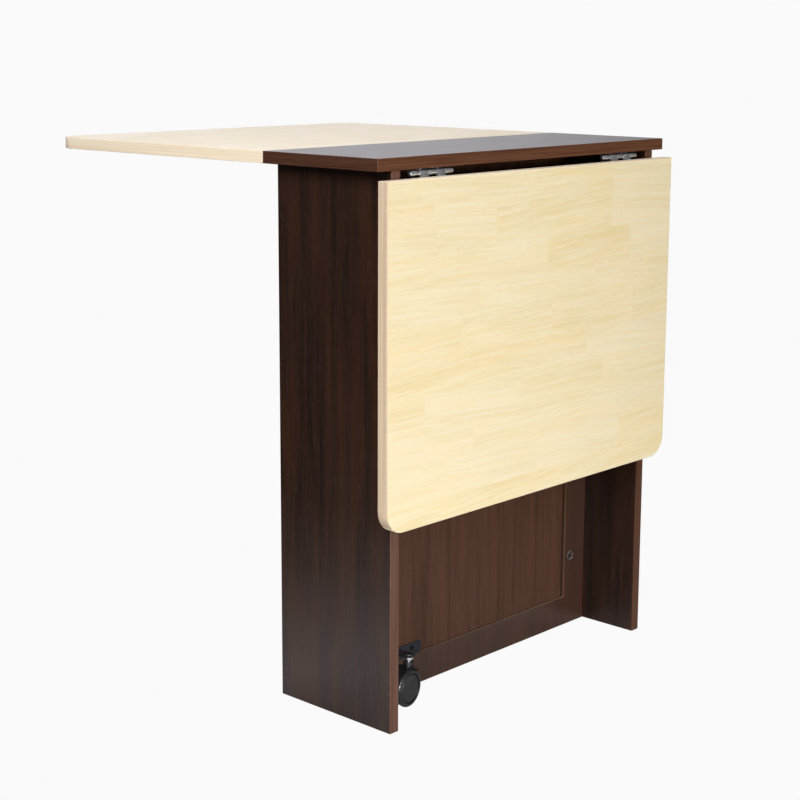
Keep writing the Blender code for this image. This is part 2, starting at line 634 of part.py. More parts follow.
def build_table():
    """Put the whole table together."""
    wenge = make_material("wenge_laminate", (0.045, 0.026, 0.019), 0.45)
    maple = make_material("maple_laminate", (0.80, 0.66, 0.42), 0.5)
    steel = make_material("zinc_steel", (0.72, 0.73, 0.74), 0.3, 1.0)
    black = make_material("black_castor", (0.02, 0.02, 0.022), 0.4)

    sizes = (LEAF_HINGE_PLATE, LEAF_HINGE_REACH, LEAF_HINGE_SCREW_ROW, LEAF_HINGE_SCREW_PITCH)
    sizes += (SCREW_HEAD_RADIUS, SCREW_SHANK_RADIUS)
    leaf_hinge = hinge_meshes(LEAF_HINGE_LENGTH, LEAF_HINGE_RADIUS, LEAF_HINGE_KNUCKLES, *sizes)
    sizes = (GATE_HINGE_PLATE, GATE_HINGE_REACH, GATE_HINGE_SCREW_ROW, GATE_HINGE_SCREW_PITCH)
    sizes += (SMALL_SCREW_HEAD_RADIUS, SMALL_SCREW_SHANK_RADIUS)
    gate_hinge = hinge_meshes(GATE_HINGE_LENGTH, GATE_HINGE_RADIUS, GATE_HINGE_KNUCKLES, *sizes)

    carcass = add_empty("carcass", HERE)
    build_carcass(carcass, wenge, steel)

    low = Vector((GATE_FREE_END, -SHEET_FACE, GATE_BOTTOM))
    high = Vector((OPENING_HALF - HINGE_KERF, SHEET_FACE, GATE_TOP))
    stile_turn = axes_matrix(Y_AXIS, X_AXIS)
    build_gate("front", -1, carcass, low, high, gate_hinge, stile_turn, wenge, steel, black)
    front_edge = FRONT_AXIS.x + FRONT_AXIS.y - low.y + RUNNING_GAP + BLOCK_LIP
    front_reach = FRONT_AXIS.x - GATE_FREE_END - FRONT_AXIS.y - LEAF_AXIS_Y

    low = Vector((GATE_FREE_END, REAR_GATE_FACE, GATE_BOTTOM))
    high = Vector((REAR_GATE_END, REAR_GATE_FACE + BOARD, GATE_TOP))
    stile_turn = axes_matrix(X_AXIS, -Y_AXIS)
    build_gate("rear", 1, carcass, low, high, gate_hinge, stile_turn, wenge, steel, black)
    rear_edge = REAR_AXIS.x + high.y - REAR_AXIS.y + RUNNING_GAP + BLOCK_LIP
    rear_reach = REAR_AXIS.x - GATE_FREE_END + REAR_AXIS.y - LEAF_AXIS_Y

    build_leaf("front", -1, carcass, math.radians(-90), front_edge, front_reach, leaf_hinge, maple, steel)
    build_leaf("rear", 1, carcass, 0, rear_edge, rear_reach, leaf_hinge, maple, steel)


clear_scene()
build_table()
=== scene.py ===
import math

import bmesh
import bpy
from mathutils import Matrix, Vector


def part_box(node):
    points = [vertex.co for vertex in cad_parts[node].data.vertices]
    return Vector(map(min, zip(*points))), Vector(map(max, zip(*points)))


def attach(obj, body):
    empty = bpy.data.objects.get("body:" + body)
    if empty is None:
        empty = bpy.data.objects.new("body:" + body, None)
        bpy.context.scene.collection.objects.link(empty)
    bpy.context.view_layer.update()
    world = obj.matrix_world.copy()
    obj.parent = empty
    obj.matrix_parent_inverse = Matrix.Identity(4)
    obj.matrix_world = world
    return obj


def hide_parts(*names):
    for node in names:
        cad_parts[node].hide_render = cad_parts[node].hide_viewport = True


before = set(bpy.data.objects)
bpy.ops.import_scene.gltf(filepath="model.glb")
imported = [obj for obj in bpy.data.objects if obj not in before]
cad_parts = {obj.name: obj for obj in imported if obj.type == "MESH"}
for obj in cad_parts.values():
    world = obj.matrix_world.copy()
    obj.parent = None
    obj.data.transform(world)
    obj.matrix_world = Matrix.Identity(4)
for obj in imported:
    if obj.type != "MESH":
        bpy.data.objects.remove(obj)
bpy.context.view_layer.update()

# Everything is in metres: +Z is up, +X runs along the table, -Y is the front, where a leaf hangs.

# Axes, directions, tolerances and steps that many pieces share
X, Y, Z = range(3)
X_AXIS = Vector((1, 0, 0))
Y_AXIS = Vector((0, 1, 0))
Z_AXIS = Vector((0, 0, 1))
HERE = Matrix.Identity(4)
SAME = 1e-6
HAIR = 0.0001
CREASE = math.radians(30)
SOFT_CREASE = math.radians(40)
ROUND_STEPS = 32

# Shares of a normal along an axis: a face that looks that way, one square to it, one that looks up
LOOKING = 0.5
SQUARE = 0.999
UPWARD = 0.9

# Boards
BOARD = 0.016
ARRIS = 0.0008
ARRIS_STEPS = 3
LEAF_CORNER_RADIUS = 0.030
LEAF_CORNER_STEPS = 14
LEAF_HEAD_LIFT = 0.0007
OPENING_HALF = 0.210
RAIL_HEIGHT = 0.0455
BLOCK_LIP = 0.012

# Material slots of a board: faces, edges along X, Y and Z, then the rail and stile edges of the opening,
# toned lighter for painted light
FACE_SLOT = 0
X_EDGE_SLOT = 1
BORE_SLOT = 3
LIT_RAIL_SLOT = 4
LIT_STILE_SLOT = 5

# Butt hinges of the leaves. The seat is the height of the wood above the axis, the row and the pitch place
# the screws, and the head is a screw's radius.
LEAF_HINGE = dict(length=0.078, seat=0.0052, barrel=0.0036, plate=0.002, reach=0.032, knuckles=5,
                  row=0.020, pitch=0.046, head=0.0034, corner=0.005)
LEAF_SCREW_LENGTH = 0.013
LEAF_HINGE_X = 0.199
LEAF_AXIS_Y = 0.0965
LEAF_AXIS_HEIGHT = 0.7185

# Butt hinges of the gates
GATE_HINGE = dict(length=0.060, seat=0.0037, barrel=0.0037, plate=0.0018, reach=0.0115, knuckles=3,
                  row=0.0078, pitch=0.032, head=0.0024, corner=0.002)
GATE_SCREW_LENGTH = 0.010
GATE_HINGE_HEIGHTS = (0.300, 0.600)
FRONT_GATE_AXIS = Vector((0.206, -0.012, 0))
REAR_GATE_AXIS = Vector((0.234, 0.012, 0))

# Knuckles, plates and pins of all hinges
KNUCKLE_GAP = 0.0003
ROLL_TURN = math.radians(302)
ROLL_STEPS = 22
ROLL_CREASE = math.radians(50)
PLATE_ARRIS = 0.00025
PLATE_CORNER_STEPS = 6
PIN_HEAD_RADIUS = 0.0032
PIN_HEAD_HEIGHT = 0.0012
PIN_HEAD_INSET = 0.0004
# Dome of a pin's head: share of its radius, and drop below its crown
PIN_DOME = ((0.0, 0.0), (0.55, 0.0001), (0.86, 0.0004), (1.0, 0.0008))

# Countersunk screws: the shank, shoulder and socket are shares of the head's radius
COUNTERSINK_DEPTH = 0.0013
COUNTERSINK_PLAY = 0.00025
SCREW_CROWN = 0.00018
SCREW_SHANK = 0.48
SCREW_SHOULDER = 0.6
SCREW_SOCKET_ARM = 0.56
SCREW_SOCKET_HALF = 0.13
SCREW_SOCKET_DEPTH = 0.75 * COUNTERSINK_DEPTH
SCREW_TURNS = (math.radians(-9), math.radians(25))
CUTTER_CLEAR = 0.001

# Cam locks
CAM_RADIUS = 0.0075
CAM_DEPTH = 0.0125
CAM_STEPS = 48
CAM_BORE_PLAY = 0.0003
CAM_RECESS = 0.0003
CAM_RIM = 0.0016
CAM_RIM_BEVEL = 0.0003
CAM_BACK_BEVEL = 0.0004
CAM_DIAL_DEPTH = 0.0007
CAM_BUTTON_RADIUS = 0.0042
CAM_BUTTON_TAPER = 0.0002
CAM_BUTTON_RISE = 0.0003
CAM_SOCKET_ARM = 0.0034
CAM_SOCKET_HALF = 0.0013
CAM_SOCKET_DEPTH = 0.0022
CAM_ROUND = 0.0005
# Rounding of the rim's outer edge: shares of its radius inward and back
CAM_ROUND_POINTS = ((0.0, 0.8), (0.4, 0.2), (1.0, 0.0))

# Castors
CASTOR_TURN = math.radians(8)
CASTOR_TRAIL = 0.010
CASTOR_STAND_OFF = 0.0385
STEM_X = -0.181
SEAT_GAP = 0.0003

# Castor wheels
WHEEL_RADIUS = 0.026
WHEEL_STEPS = 72
AXLE_HEIGHT = WHEEL_RADIUS + SEAT_GAP
WHEEL_INNER = 0.0035
WHEEL_OUTER = 0.011
WHEEL_ROUNDING = 0.0026
WHEEL_SHOULDER = 0.0042
WHEEL_GROOVE = 0.0012
SHOULDER_STEPS = 8
ROUNDING_STEPS = 5
TREAD_MARGIN = 0.0005
DISC_RADIUS = 0.0196
DISC_ROUNDING = 0.0020
DISC_CROWN = 0.0004
DISC_RING = 0.6
AXLE_RADIUS = 0.0025
AXLE_HALF = 0.0076
AXLE_BEVEL = 0.0004

# Castor hoods
FENDER_INSIDE = 0.0268
FENDER_OUTSIDE = 0.0284
FENDER_START = math.radians(44)
FENDER_END = math.radians(155)
FENDER_STEPS = 40
FENDER_BEVEL = 0.0006
WEB_HALF_WIDTH = 0.003
WEB_FOOT_RADIUS = 0.009
WEB_STEPS = 48
HOLLOW_STEPS = 96
BOSS_RADIUS = 0.007
BOSS_DRAFT = 0.0006
BOSS_BEVEL = 0.0008
BOSS_STEPS = 48
BOSS_TOP = 0.060

# Castor stems, with heights above the floor
STEM_RADIUS = 0.004
STEM_BEVEL = 0.0003
STEM_STEPS = 40
STEM_SHOULDER = 0.0535
COLLAR_RADIUS = 0.0075
COLLAR_SIDES = 6
COLLAR_BEVEL = 0.0005
COLLAR_BOTTOM = 0.0634
COLLAR_TOP = 0.0663
RIVET_RADIUS = 0.0065
RIVET_SEAT = 0.0689
# Dome of the riveted end: radius, and height above its seat
RIVET_DOME = ((0.0062, 0.0007), (0.00533, 0.0016), (0.00325, 0.0021), (0.0, 0.0022))

# Castor brackets, from the stem's axis along X and with heights above the floor
BRACKET_PLATE = 0.002
BRACKET_LEFT = -0.021
BRACKET_RIGHT = 0.065
BRACKET_BOTTOM = 0.0455
BRACKET_TOP = 0.0632
BRACKET_STEP = 0.015
BRACKET_CORNER = 0.0025
BRACKET_CORNER_STEPS = 5
TONGUE_TOP = 0.0686
TONGUE_HALF_WIDTH = 0.0085
TONGUE_STEPS = 14
BRACKET_SCREWS = (-0.015, 0.046)
BRACKET_SCREW_HEIGHT = 0.0565
BRACKET_SCREW_HEAD = 0.0034
BRACKET_SCREW_LENGTH = 0.012

# Sockets for colours on a Mix node
MIX_COLOURS = (6, 7)
MIX_RESULT = 2

# Turns that bring the grain direction onto X
GRAIN_TURN = {"x": (0, 0, 0), "y": (0, 0, -math.pi / 2), "z": (0, math.pi / 2, 0)}

# Parts of a wood figure: shares of its scale, shift of the noise, detail, roughness, and the levels kept
FIGURE_PARTS = {
    "Streaks": dict(along=1.0, across=1.0, shift=(0, 0, 0), detail=4.0, roughness=0.60, low=0.36, high=0.66),
    "Bands": dict(along=0.35, across=0.16, shift=(0, 0, 0), detail=2.0, roughness=0.55, low=0.33, high=0.67),
    "Patches": dict(along=0.6, across=0.1, shift=(7.3, 2.9, 5.1), detail=2.0, roughness=0.55,
                    low=0.40, high=0.68),
    "Pores": dict(along=7.0, across=2.6, shift=(0, 0, 0), detail=2.0, roughness=0.55, low=0.58, high=0.70),
}
WENGE_FIGURE = dict(along=6.0, across=460.0, waviness=0.006, wave_size=4.0)
WENGE_EDGE_FIGURE = dict(along=7.0, across=420.0, waviness=0.003, wave_size=6.0)
MAPLE_FIGURE = dict(along=9.0, across=300.0, waviness=0.012, wave_size=5.0)
MAPLE_EDGE_FIGURE = dict(along=3.0, across=480.0, waviness=0.002, wave_size=6.0)

# Staves of the maple print
STAVE_LENGTH = 0.250
STAVE_WIDTH = 0.046
STAVE_SQUASH = 0.75
STAVE_SLOPE = 0.16
STAVE_JUMP = 5.0
STAVE_SHARE = 0.35
STAVE_PALE = (0.935, 0.850, 0.640)

# Tones of a figure: dark and middle bands, patches, streaks, pores
# The side panels, the centre board and the gates share one wenge laminate. Their tones are copies that paint
# light and shade: darkest on the side panels and darker on the centre board for painted shade, lighter on
# the gates for painted light.
SIDE_SHADE_TONES = ((0.0104, 0.0049, 0.0037), (0.0216, 0.0088, 0.0052), (0.0406, 0.0152, 0.0066),
              (0.0415, 0.0186, 0.0118), (0.070, 0.041, 0.031))
TOP_TONES = ((0.0180, 0.0085, 0.0062), (0.0260, 0.0125, 0.0090), (0.0300, 0.0140, 0.0100),
             (0.0360, 0.0180, 0.0130), (0.045, 0.026, 0.019))
GATE_LIGHT_TONES = ((0.0550, 0.0245, 0.0150), (0.0780, 0.0355, 0.0220), (0.1020, 0.0430, 0.0240),
              (0.1050, 0.0510, 0.0325), (0.135, 0.077, 0.053))
CENTRE_SHADE_TONES = ((0.0430, 0.0190, 0.0110), (0.0560, 0.0250, 0.0145), (0.0680, 0.0295, 0.0160),
                (0.0730, 0.0350, 0.0215), (0.095, 0.053, 0.036))
MAPLE_TONES = ((0.855, 0.682, 0.350), (0.900, 0.757, 0.437), (0.940, 0.740, 0.410),
               (0.945, 0.852, 0.630), (0.690, 0.520, 0.270))

# Tones of the edge bands: wenge along X, Y and Z, the right panel's, the opening's, and the leaves'. Several
# are toned copies of one band that paint light and shade.
WENGE_X_TONES = ((0.080, 0.0310, 0.0150), (0.110, 0.0440, 0.0215), (0.125, 0.0490, 0.0230),
                 (0.150, 0.0640, 0.0340), (0.060, 0.023, 0.012))
# Edges along Y, the ends that face the sides, are a darker copy of the band: painted shade.
WENGE_Y_SHADED_TONES = ((0.045, 0.0178, 0.0102), (0.063, 0.0258, 0.0150), (0.070, 0.0282, 0.0158),
                 (0.087, 0.0374, 0.0224), (0.035, 0.014, 0.008))
WENGE_Z_TONES = ((0.085, 0.0405, 0.0265), (0.115, 0.0560, 0.0380), (0.125, 0.0590, 0.0385),
                 (0.150, 0.0780, 0.0540), (0.068, 0.032, 0.021))
# The right panel's upright edges are a darker copy of the wenge band: painted shade.
RIGHT_SHADE_TONES = ((0.066, 0.0290, 0.0172), (0.088, 0.0395, 0.0240), (0.100, 0.0430, 0.0250),
               (0.118, 0.0560, 0.0355), (0.052, 0.023, 0.014))
# The opening's rail and stile edges are lighter copies of the wenge band: painted light.
RAIL_LIT_TONES = ((0.125, 0.073, 0.046), (0.165, 0.096, 0.062), (0.185, 0.105, 0.066),
              (0.205, 0.125, 0.082), (0.105, 0.059, 0.037))
STILE_LIT_TONES = ((0.105, 0.052, 0.028), (0.135, 0.068, 0.038), (0.155, 0.077, 0.041),
               (0.170, 0.092, 0.054), (0.085, 0.042, 0.022))
# One maple edge band in two copies: the pale tones paint light on the rear leaf's edges and on the front
# leaf's top and bottom edges, and the tan tones paint shade on the front leaf's ends.
PALE_LIT_TONES = ((0.860, 0.690, 0.490), (0.910, 0.765, 0.565), (0.920, 0.770, 0.560),
              (0.940, 0.830, 0.650), (0.790, 0.620, 0.440))
TAN_SHADED_TONES = ((0.560, 0.415, 0.280), (0.630, 0.480, 0.335), (0.650, 0.485, 0.330),
             (0.730, 0.585, 0.430), (0.490, 0.355, 0.235))

# Shares of patches, streaks and pores
WENGE_SHARES = (0.75, 0.45, 0.45)
MAPLE_SHARES = (0.80, 0.60, 0.30)
EDGE_SHARES = (0.5, 0.8, 0.4)

# Roughness ranges and specular levels of the boards, size of the handling marks, strength of a fine tooth
SATIN = (0.33, 0.39)
SMOOTH = (0.35, 0.37)
EVEN = (0.28, 0.34)
DULL = (0.44, 0.56)
FULL_SHEEN = 0.5
LOW_SHEEN = 0.10
WOOD_MARKS = 14.0
METAL_MARKS = 60.0
TOOTH_STRENGTH = 0.5

# Camera
CAMERA_PLACE = Vector((-1.77211, -1.50478, 0.88347))
CAMERA_YAW = 0.81577
CAMERA_PITCH = 0.18095
CAMERA_ROLL = 0.00249
CAMERA_LENS = 76.119
CAMERA_SHIFT = (0.0149, -0.0668)
SENSOR = 36.0

# Room: white to the camera, a dim sky with one soft window for everything else
WHITE = (1, 1, 1, 1)
PAPER_WHITE = 0.956
SKY_LOW = 0.05
SKY_HIGH = 0.42
SKY_TINT = (0.960, 0.940, 1.0, 1)
WINDOW_WAY = Vector((0.60, 0.79, 0.15))
WINDOW_EDGE = 0.88
WINDOW_LIGHT = 1.42

# Softboxes: three for diffuse light, and a strip that shows in reflections alone
KEY_LIGHT = dict(place=(-2.4, -0.7, 2.1), target=(-0.2, 0.0, 0.5), size=1.5, power=77.0)
FILL_LIGHT = dict(place=(-0.45, -2.6, 0.54), target=(0.0, -0.1, 0.40), size=0.9, power=41.0)
REAR_LIGHT = dict(place=(2.3, 2.4, 0.66), target=(0.1, 0.1, 0.40), size=1.2, power=90.0)
SPARK_LIGHT = dict(place=(-1.65, -1.85, 1.2), target=(-0.19, -0.06, 0.1), size=0.5, power=13.0)
SPARK_LENGTH = 1.2
SPARK_SPREAD = math.radians(32)

# Floor: its glow onto the object paints bounced light; it fades far away and holds a painted shadow under
# the table
FLOOR_HALF = 40
FLOOR_DROP = 0.0005
FLOOR_TONE = (0, 0, 0, 1)
FLOOR_ROUGHNESS = 0.8
FLOOR_WHITE = 0.956
FLOOR_GLOW = 0.80
FLOOR_MIDDLE = (-0.30, -0.30, 0.0)
FLOOR_SQUEEZE = (1.0, 2.0, 1.0)
FLOOR_UNDER = 0.20
FLOOR_SHADE = 0.30
FLOOR_NEAR = 0.45
FLOOR_FAR = 1.02
FLOOR_DARK = 0.02


# Node building


def put(tree, kind, inputs=(), **settings):
    """Add a node with its settings; an input is a socket to link or a plain value."""
    node = tree.nodes.new(kind)
    for key, value in settings.items():
        setattr(node, key, value)
    for key, value in dict(inputs).items():
        if isinstance(value, bpy.types.NodeSocket):
            tree.links.new(value, node.inputs[key])
        else:
            node.inputs[key].default_value = value
    return node


def calc(tree, operation, first, second=0.0):
    return put(tree, "ShaderNodeMath", {0: first, 1: second}, operation=operation).outputs["Value"]


def vector_calc(tree, operation, *values, output="Vector"):
    return put(tree, "ShaderNodeVectorMath", enumerate(values), operation=operation).outputs[output]


def remap(tree, value, low, high, start=0.0, end=1.0, kind="LINEAR"):
    """Bring a value between two levels to a new start and end."""
    inputs = {"Value": value, "From Min": low, "From Max": high, "To Min": start, "To Max": end}
    return put(tree, "ShaderNodeMapRange", inputs, interpolation_type=kind).outputs["Result"]


def spread(tree, value, low, high):
    """Stretch a value between two levels smoothly to zero and one."""
    return remap(tree, value, low, high, kind="SMOOTHSTEP")


def noise(tree, vector, scale, detail, roughness):
    inputs = {"Vector": vector, "Scale": scale, "Detail": detail, "Roughness": roughness}
    return put(tree, "ShaderNodeTexNoise", inputs).outputs["Fac"]


def blend_colour(tree, factor, first, second):
    made = put(tree, "ShaderNodeMix", {"Factor": factor}, data_type="RGBA")
    for index, value in zip(MIX_COLOURS, (first, second)):
        if isinstance(value, bpy.types.NodeSocket):
            tree.links.new(value, made.inputs[index])
        else:
            made.inputs[index].default_value = (*value, 1)
    return made.outputs[MIX_RESULT]


def new_group(name, inputs, outputs):
    """Start a node group with named inputs and their defaults, and named outputs."""
    group = bpy.data.node_groups.new(name, "ShaderNodeTree")
    for label, value in inputs.items():
        kind = "NodeSocketVector" if value is None else "NodeSocketFloat"
        socket = group.interface.new_socket(label, in_out="INPUT", socket_type=kind)
        if value is not None:
            socket.default_value = value
    for label in outputs:
        group.interface.new_socket(label, in_out="OUTPUT", socket_type="NodeSocketFloat")
    return group, put(group, "NodeGroupInput").outputs, put(group, "NodeGroupOutput").inputs


def make_wood_figure():
    """Printed wood figure: fine streaks, wide bands, broad patches and short pores, all along X."""
    inputs = {"Vector": None, "Along": 6.0, "Across": 200.0, "Waviness": 0.004, "Wave Size": 7.0}
    group, given, result = new_group("wood_figure", inputs, FIGURE_PARTS)
    drift = {"Vector": given["Vector"], "Scale": given["Wave Size"], "Detail": 2.0}
    colour = put(group, "ShaderNodeTexNoise", drift).outputs["Color"]
    centred = vector_calc(group, "SUBTRACT", colour, (0.5, 0.5, 0.5))
    bend = put(group, "ShaderNodeVectorMath", {0: centred, "Scale": given["Waviness"]}, operation="SCALE")
    bent = vector_calc(group, "ADD", given["Vector"], bend.outputs["Vector"])
    for label, part in FIGURE_PARTS.items():
        along = calc(group, "MULTIPLY", given["Along"], part["along"])
        across = calc(group, "MULTIPLY", given["Across"], part["across"])
        scale = put(group, "ShaderNodeCombineXYZ", {"X": along, "Y": across, "Z": across}).outputs["Vector"]
        place = vector_calc(group, "ADD", vector_calc(group, "MULTIPLY", bent, scale), part["shift"])
        level = noise(group, place, 1.0, part["detail"], part["roughness"])
        group.links.new(spread(group, level, part["low"], part["high"]), result[label])
    return group


def make_handling_marks():
    """Faint cloudy marks that hands and cloths leave on a finish."""
    group, given, result = new_group("handling_marks", {"Vector": None, "Size": WOOD_MARKS}, ("Marks",))
    cloud = noise(group, given["Vector"], given["Size"], detail=5.0, roughness=0.6)
    group.links.new(spread(group, cloud, low=0.30, high=0.75), result["Marks"])
    return group


def make_fine_tooth():
    """Fine pebbled tooth of moulded plastic or powder coat."""
    group, given, result = new_group("fine_tooth", {"Vector": None, "Size": 2500.0}, ("Tooth",))
    inputs = {"Vector": given["Vector"], "Scale": given["Size"]}
    cells = put(group, "ShaderNodeTexVoronoi", inputs, feature="SMOOTH_F1")
    group.links.new(cells.outputs["Distance"], result["Tooth"])
    return group


def place_group(tree, group, vector, **values):
    node = put(tree, "ShaderNodeGroup", node_tree=group)
    tree.links.new(vector, node.inputs["Vector"])
    for key, value in values.items():
        node.inputs[key.replace("_", " ").title()].default_value = value
    return node.outputs


def start_material(name, roughness, mark_size, turn=(0, 0, 0), specular=0.5, metallic=0.0):
    """A material with mapped coordinates and a roughness that its handling marks vary."""
    material = bpy.data.materials.new(name)
    material.use_nodes = True
    tree = material.node_tree
    shader = tree.nodes["Principled BSDF"]
    shader.inputs["Specular IOR Level"].default_value = specular
    shader.inputs["Metallic"].default_value = metallic
    coordinates = put(tree, "ShaderNodeTexCoord").outputs["Object"]
    vector = put(tree, "ShaderNodeMapping", {"Vector": coordinates, "Rotation": turn}).outputs["Vector"]
    marks = place_group(tree, HANDLING_MARKS, vector, size=mark_size)["Marks"]
    tree.links.new(remap(tree, marks, 0.0, 1.0, *roughness), shader.inputs["Roughness"])
    return material, tree, shader, vector, marks


def add_bump(tree, shader, height, distance, strength=1.0):
    bump = put(tree, "ShaderNodeBump", {"Height": height, "Distance": distance, "Strength": strength})
    tree.links.new(bump.outputs["Normal"], shader.inputs["Normal"])


def lay_staves(tree, vector):
    """Printed staves along X: each one's random tone, and coordinates that slope and shift its figure."""
    parts = put(tree, "ShaderNodeSeparateXYZ", {"Vector": vector}).outputs
    across = calc(tree, "ADD", parts["Y"], parts["Z"])
    row = calc(tree, "FLOOR", calc(tree, "DIVIDE", across, STAVE_WIDTH))
    shift = put(tree, "ShaderNodeTexWhiteNoise", {"W": row}, noise_dimensions="1D").outputs["Value"]
    start = calc(tree, "ADD", parts["X"], calc(tree, "MULTIPLY", shift, STAVE_LENGTH))
    flat = put(tree, "ShaderNodeCombineXYZ", {"X": start, "Y": across}).outputs["Vector"]
    inputs = {"Vector": flat, "Color1": (0, 0, 0, 1), "Color2": WHITE, "Scale": 1.0, "Mortar Size": 0.0,
              "Bias": 0.0, "Brick Width": STAVE_LENGTH, "Row Height": STAVE_WIDTH}
    tone = put(tree, "ShaderNodeTexBrick", inputs, offset=0.0, squash=STAVE_SQUASH).outputs["Color"]
    slope = calc(tree, "MULTIPLY", calc(tree, "SUBTRACT", tone, 0.5), STAVE_SLOPE)
    leaning = calc(tree, "ADD", across, calc(tree, "MULTIPLY", parts["X"], slope))
    own = calc(tree, "MULTIPLY", tone, STAVE_JUMP)
    laid = put(tree, "ShaderNodeCombineXYZ", {"X": parts["X"], "Y": leaning, "Z": own}).outputs["Vector"]
    return tone, laid


def make_wood(name, axis, tones, shares, figure, roughness, bump, specular, staves=False):
    """Laminate or edge band with a printed figure along an axis, in staves where asked."""
    made = start_material(name, roughness, WOOD_MARKS, GRAIN_TURN[axis], specular)
    material, tree, shader, vector = made[:4]
    if staves:
        stave, vector = lay_staves(tree, vector)
    grain = place_group(tree, WOOD_FIGURE, vector, **figure)
    colour = blend_colour(tree, grain["Bands"], tones[0], tones[1])
    for part, share, tone in zip(("Patches", "Streaks", "Pores"), shares, tones[2:]):
        colour = blend_colour(tree, calc(tree, "MULTIPLY", grain[part], share), colour, tone)
    if staves:
        colour = blend_colour(tree, calc(tree, "MULTIPLY", stave, STAVE_SHARE), colour, STAVE_PALE)
    tree.links.new(colour, shader.inputs["Base Color"])
    relief = calc(tree, "SUBTRACT", grain["Streaks"], grain["Pores"])
    add_bump(tree, shader, relief, bump)
    return material


def make_band(kind, axis, tones, figure):
    """Edge band along an axis."""
    name = f"{kind}_edge_{axis}"
    return make_wood(name, axis, tones, EDGE_SHARES, figure, DULL, bump=0.00004, specular=LOW_SHEEN)


def make_metal(name, low, high, roughness, tooth, bump, metallic=1.0, specular=0.5):
    """Plated or coated metal, or moulded plastic, with a cloudy tone and a fine tooth."""
    made = start_material(name, roughness, METAL_MARKS, specular=specular, metallic=metallic)
    material, tree, shader, vector, marks = made
    tree.links.new(blend_colour(tree, marks, low, high), shader.inputs["Base Color"])
    grain = place_group(tree, FINE_TOOTH, vector, size=tooth)["Tooth"]
    add_bump(tree, shader, grain, bump, TOOTH_STRENGTH)
    return material


# Finishes


WOOD_FIGURE = make_wood_figure()
HANDLING_MARKS = make_handling_marks()
FINE_TOOTH = make_fine_tooth()

WENGE_TOP = make_wood("wenge_top", "x", TOP_TONES, WENGE_SHARES, WENGE_FIGURE, SMOOTH,
                      bump=0.000002, specular=FULL_SHEEN)
# Toned copies of one laminate: painted shade on the side panels and the centre board, painted light on the
# gates.
WENGE_SIDE_SHADED = make_wood("wenge_side_shaded", "z", SIDE_SHADE_TONES, WENGE_SHARES, WENGE_FIGURE, EVEN,
                       bump=0.00003, specular=FULL_SHEEN)
WENGE_GATE_LIT = make_wood("wenge_gate", "z", GATE_LIGHT_TONES, WENGE_SHARES, WENGE_FIGURE, DULL,
                       bump=0.00005, specular=LOW_SHEEN)
WENGE_CENTRE_SHADED = make_wood("wenge_centre_shaded", "z", CENTRE_SHADE_TONES, WENGE_SHARES, WENGE_FIGURE, EVEN,
                         bump=0.00003, specular=FULL_SHEEN)
MAPLE_FACE = make_wood("maple_face", "x", MAPLE_TONES, MAPLE_SHARES, MAPLE_FIGURE, SATIN,
                       bump=0.00001, specular=FULL_SHEEN, staves=True)

RIGHT_SHADE_BAND = make_band("right_wenge_shaded", "z", RIGHT_SHADE_TONES, WENGE_EDGE_FIGURE)
WENGE_EDGES = [make_band("wenge", axis, tones, WENGE_EDGE_FIGURE)
               for axis, tones in zip("xyz", (WENGE_X_TONES, WENGE_Y_SHADED_TONES, WENGE_Z_TONES))]
# Front leaf: pale copy on its top and bottom edges for painted light, tan copy on its ends for painted
# shade. Rear leaf: pale copy, painted light.
FRONT_LIT_AND_SHADED_EDGES = [make_band("front_maple_lit_and_shaded", axis, tones, MAPLE_EDGE_FIGURE)
               for axis, tones in zip("xyz", (PALE_LIT_TONES, TAN_SHADED_TONES, TAN_SHADED_TONES))]
REAR_LIT_EDGES = [make_band("rear_maple_lit", axis, PALE_LIT_TONES, MAPLE_EDGE_FIGURE) for axis in "xyz"]
MAPLE = {"front": [MAPLE_FACE, *FRONT_LIT_AND_SHADED_EDGES], "rear": [MAPLE_FACE, *REAR_LIT_EDGES]}
LIT_OPENING_BANDS = [make_band("rail", "x", RAIL_LIT_TONES, WENGE_EDGE_FIGURE),
                 make_band("stile", "z", STILE_LIT_TONES, WENGE_EDGE_FIGURE)]

ZINC = make_metal("zinc_plate", low=(0.66, 0.67, 0.69), high=(0.78, 0.79, 0.80), roughness=(0.20, 0.30),
                  tooth=1800.0, bump=0.00002, metallic=0.90)
CAM_ZINC = make_metal("cam_zinc", low=(0.44, 0.44, 0.45), high=(0.60, 0.60, 0.61), roughness=(0.34, 0.50),
                      tooth=1500.0, bump=0.00005)
# Dull dark brown for the sunk faces of the zinc cam: painted shade.
CAM_SOCKET_SHADE = make_metal("cam_socket_shade", low=(0.040, 0.030, 0.025), high=(0.062, 0.047, 0.040),
                        roughness=(0.50, 0.65), tooth=1500.0, bump=0.00005, metallic=0.0, specular=0.2)
BLACK_STEEL = make_metal("black_coat", low=(0.011, 0.012, 0.016), high=(0.018, 0.020, 0.026),
                         roughness=(0.42, 0.56), tooth=1300.0, bump=0.00006, metallic=0.0, specular=0.25)
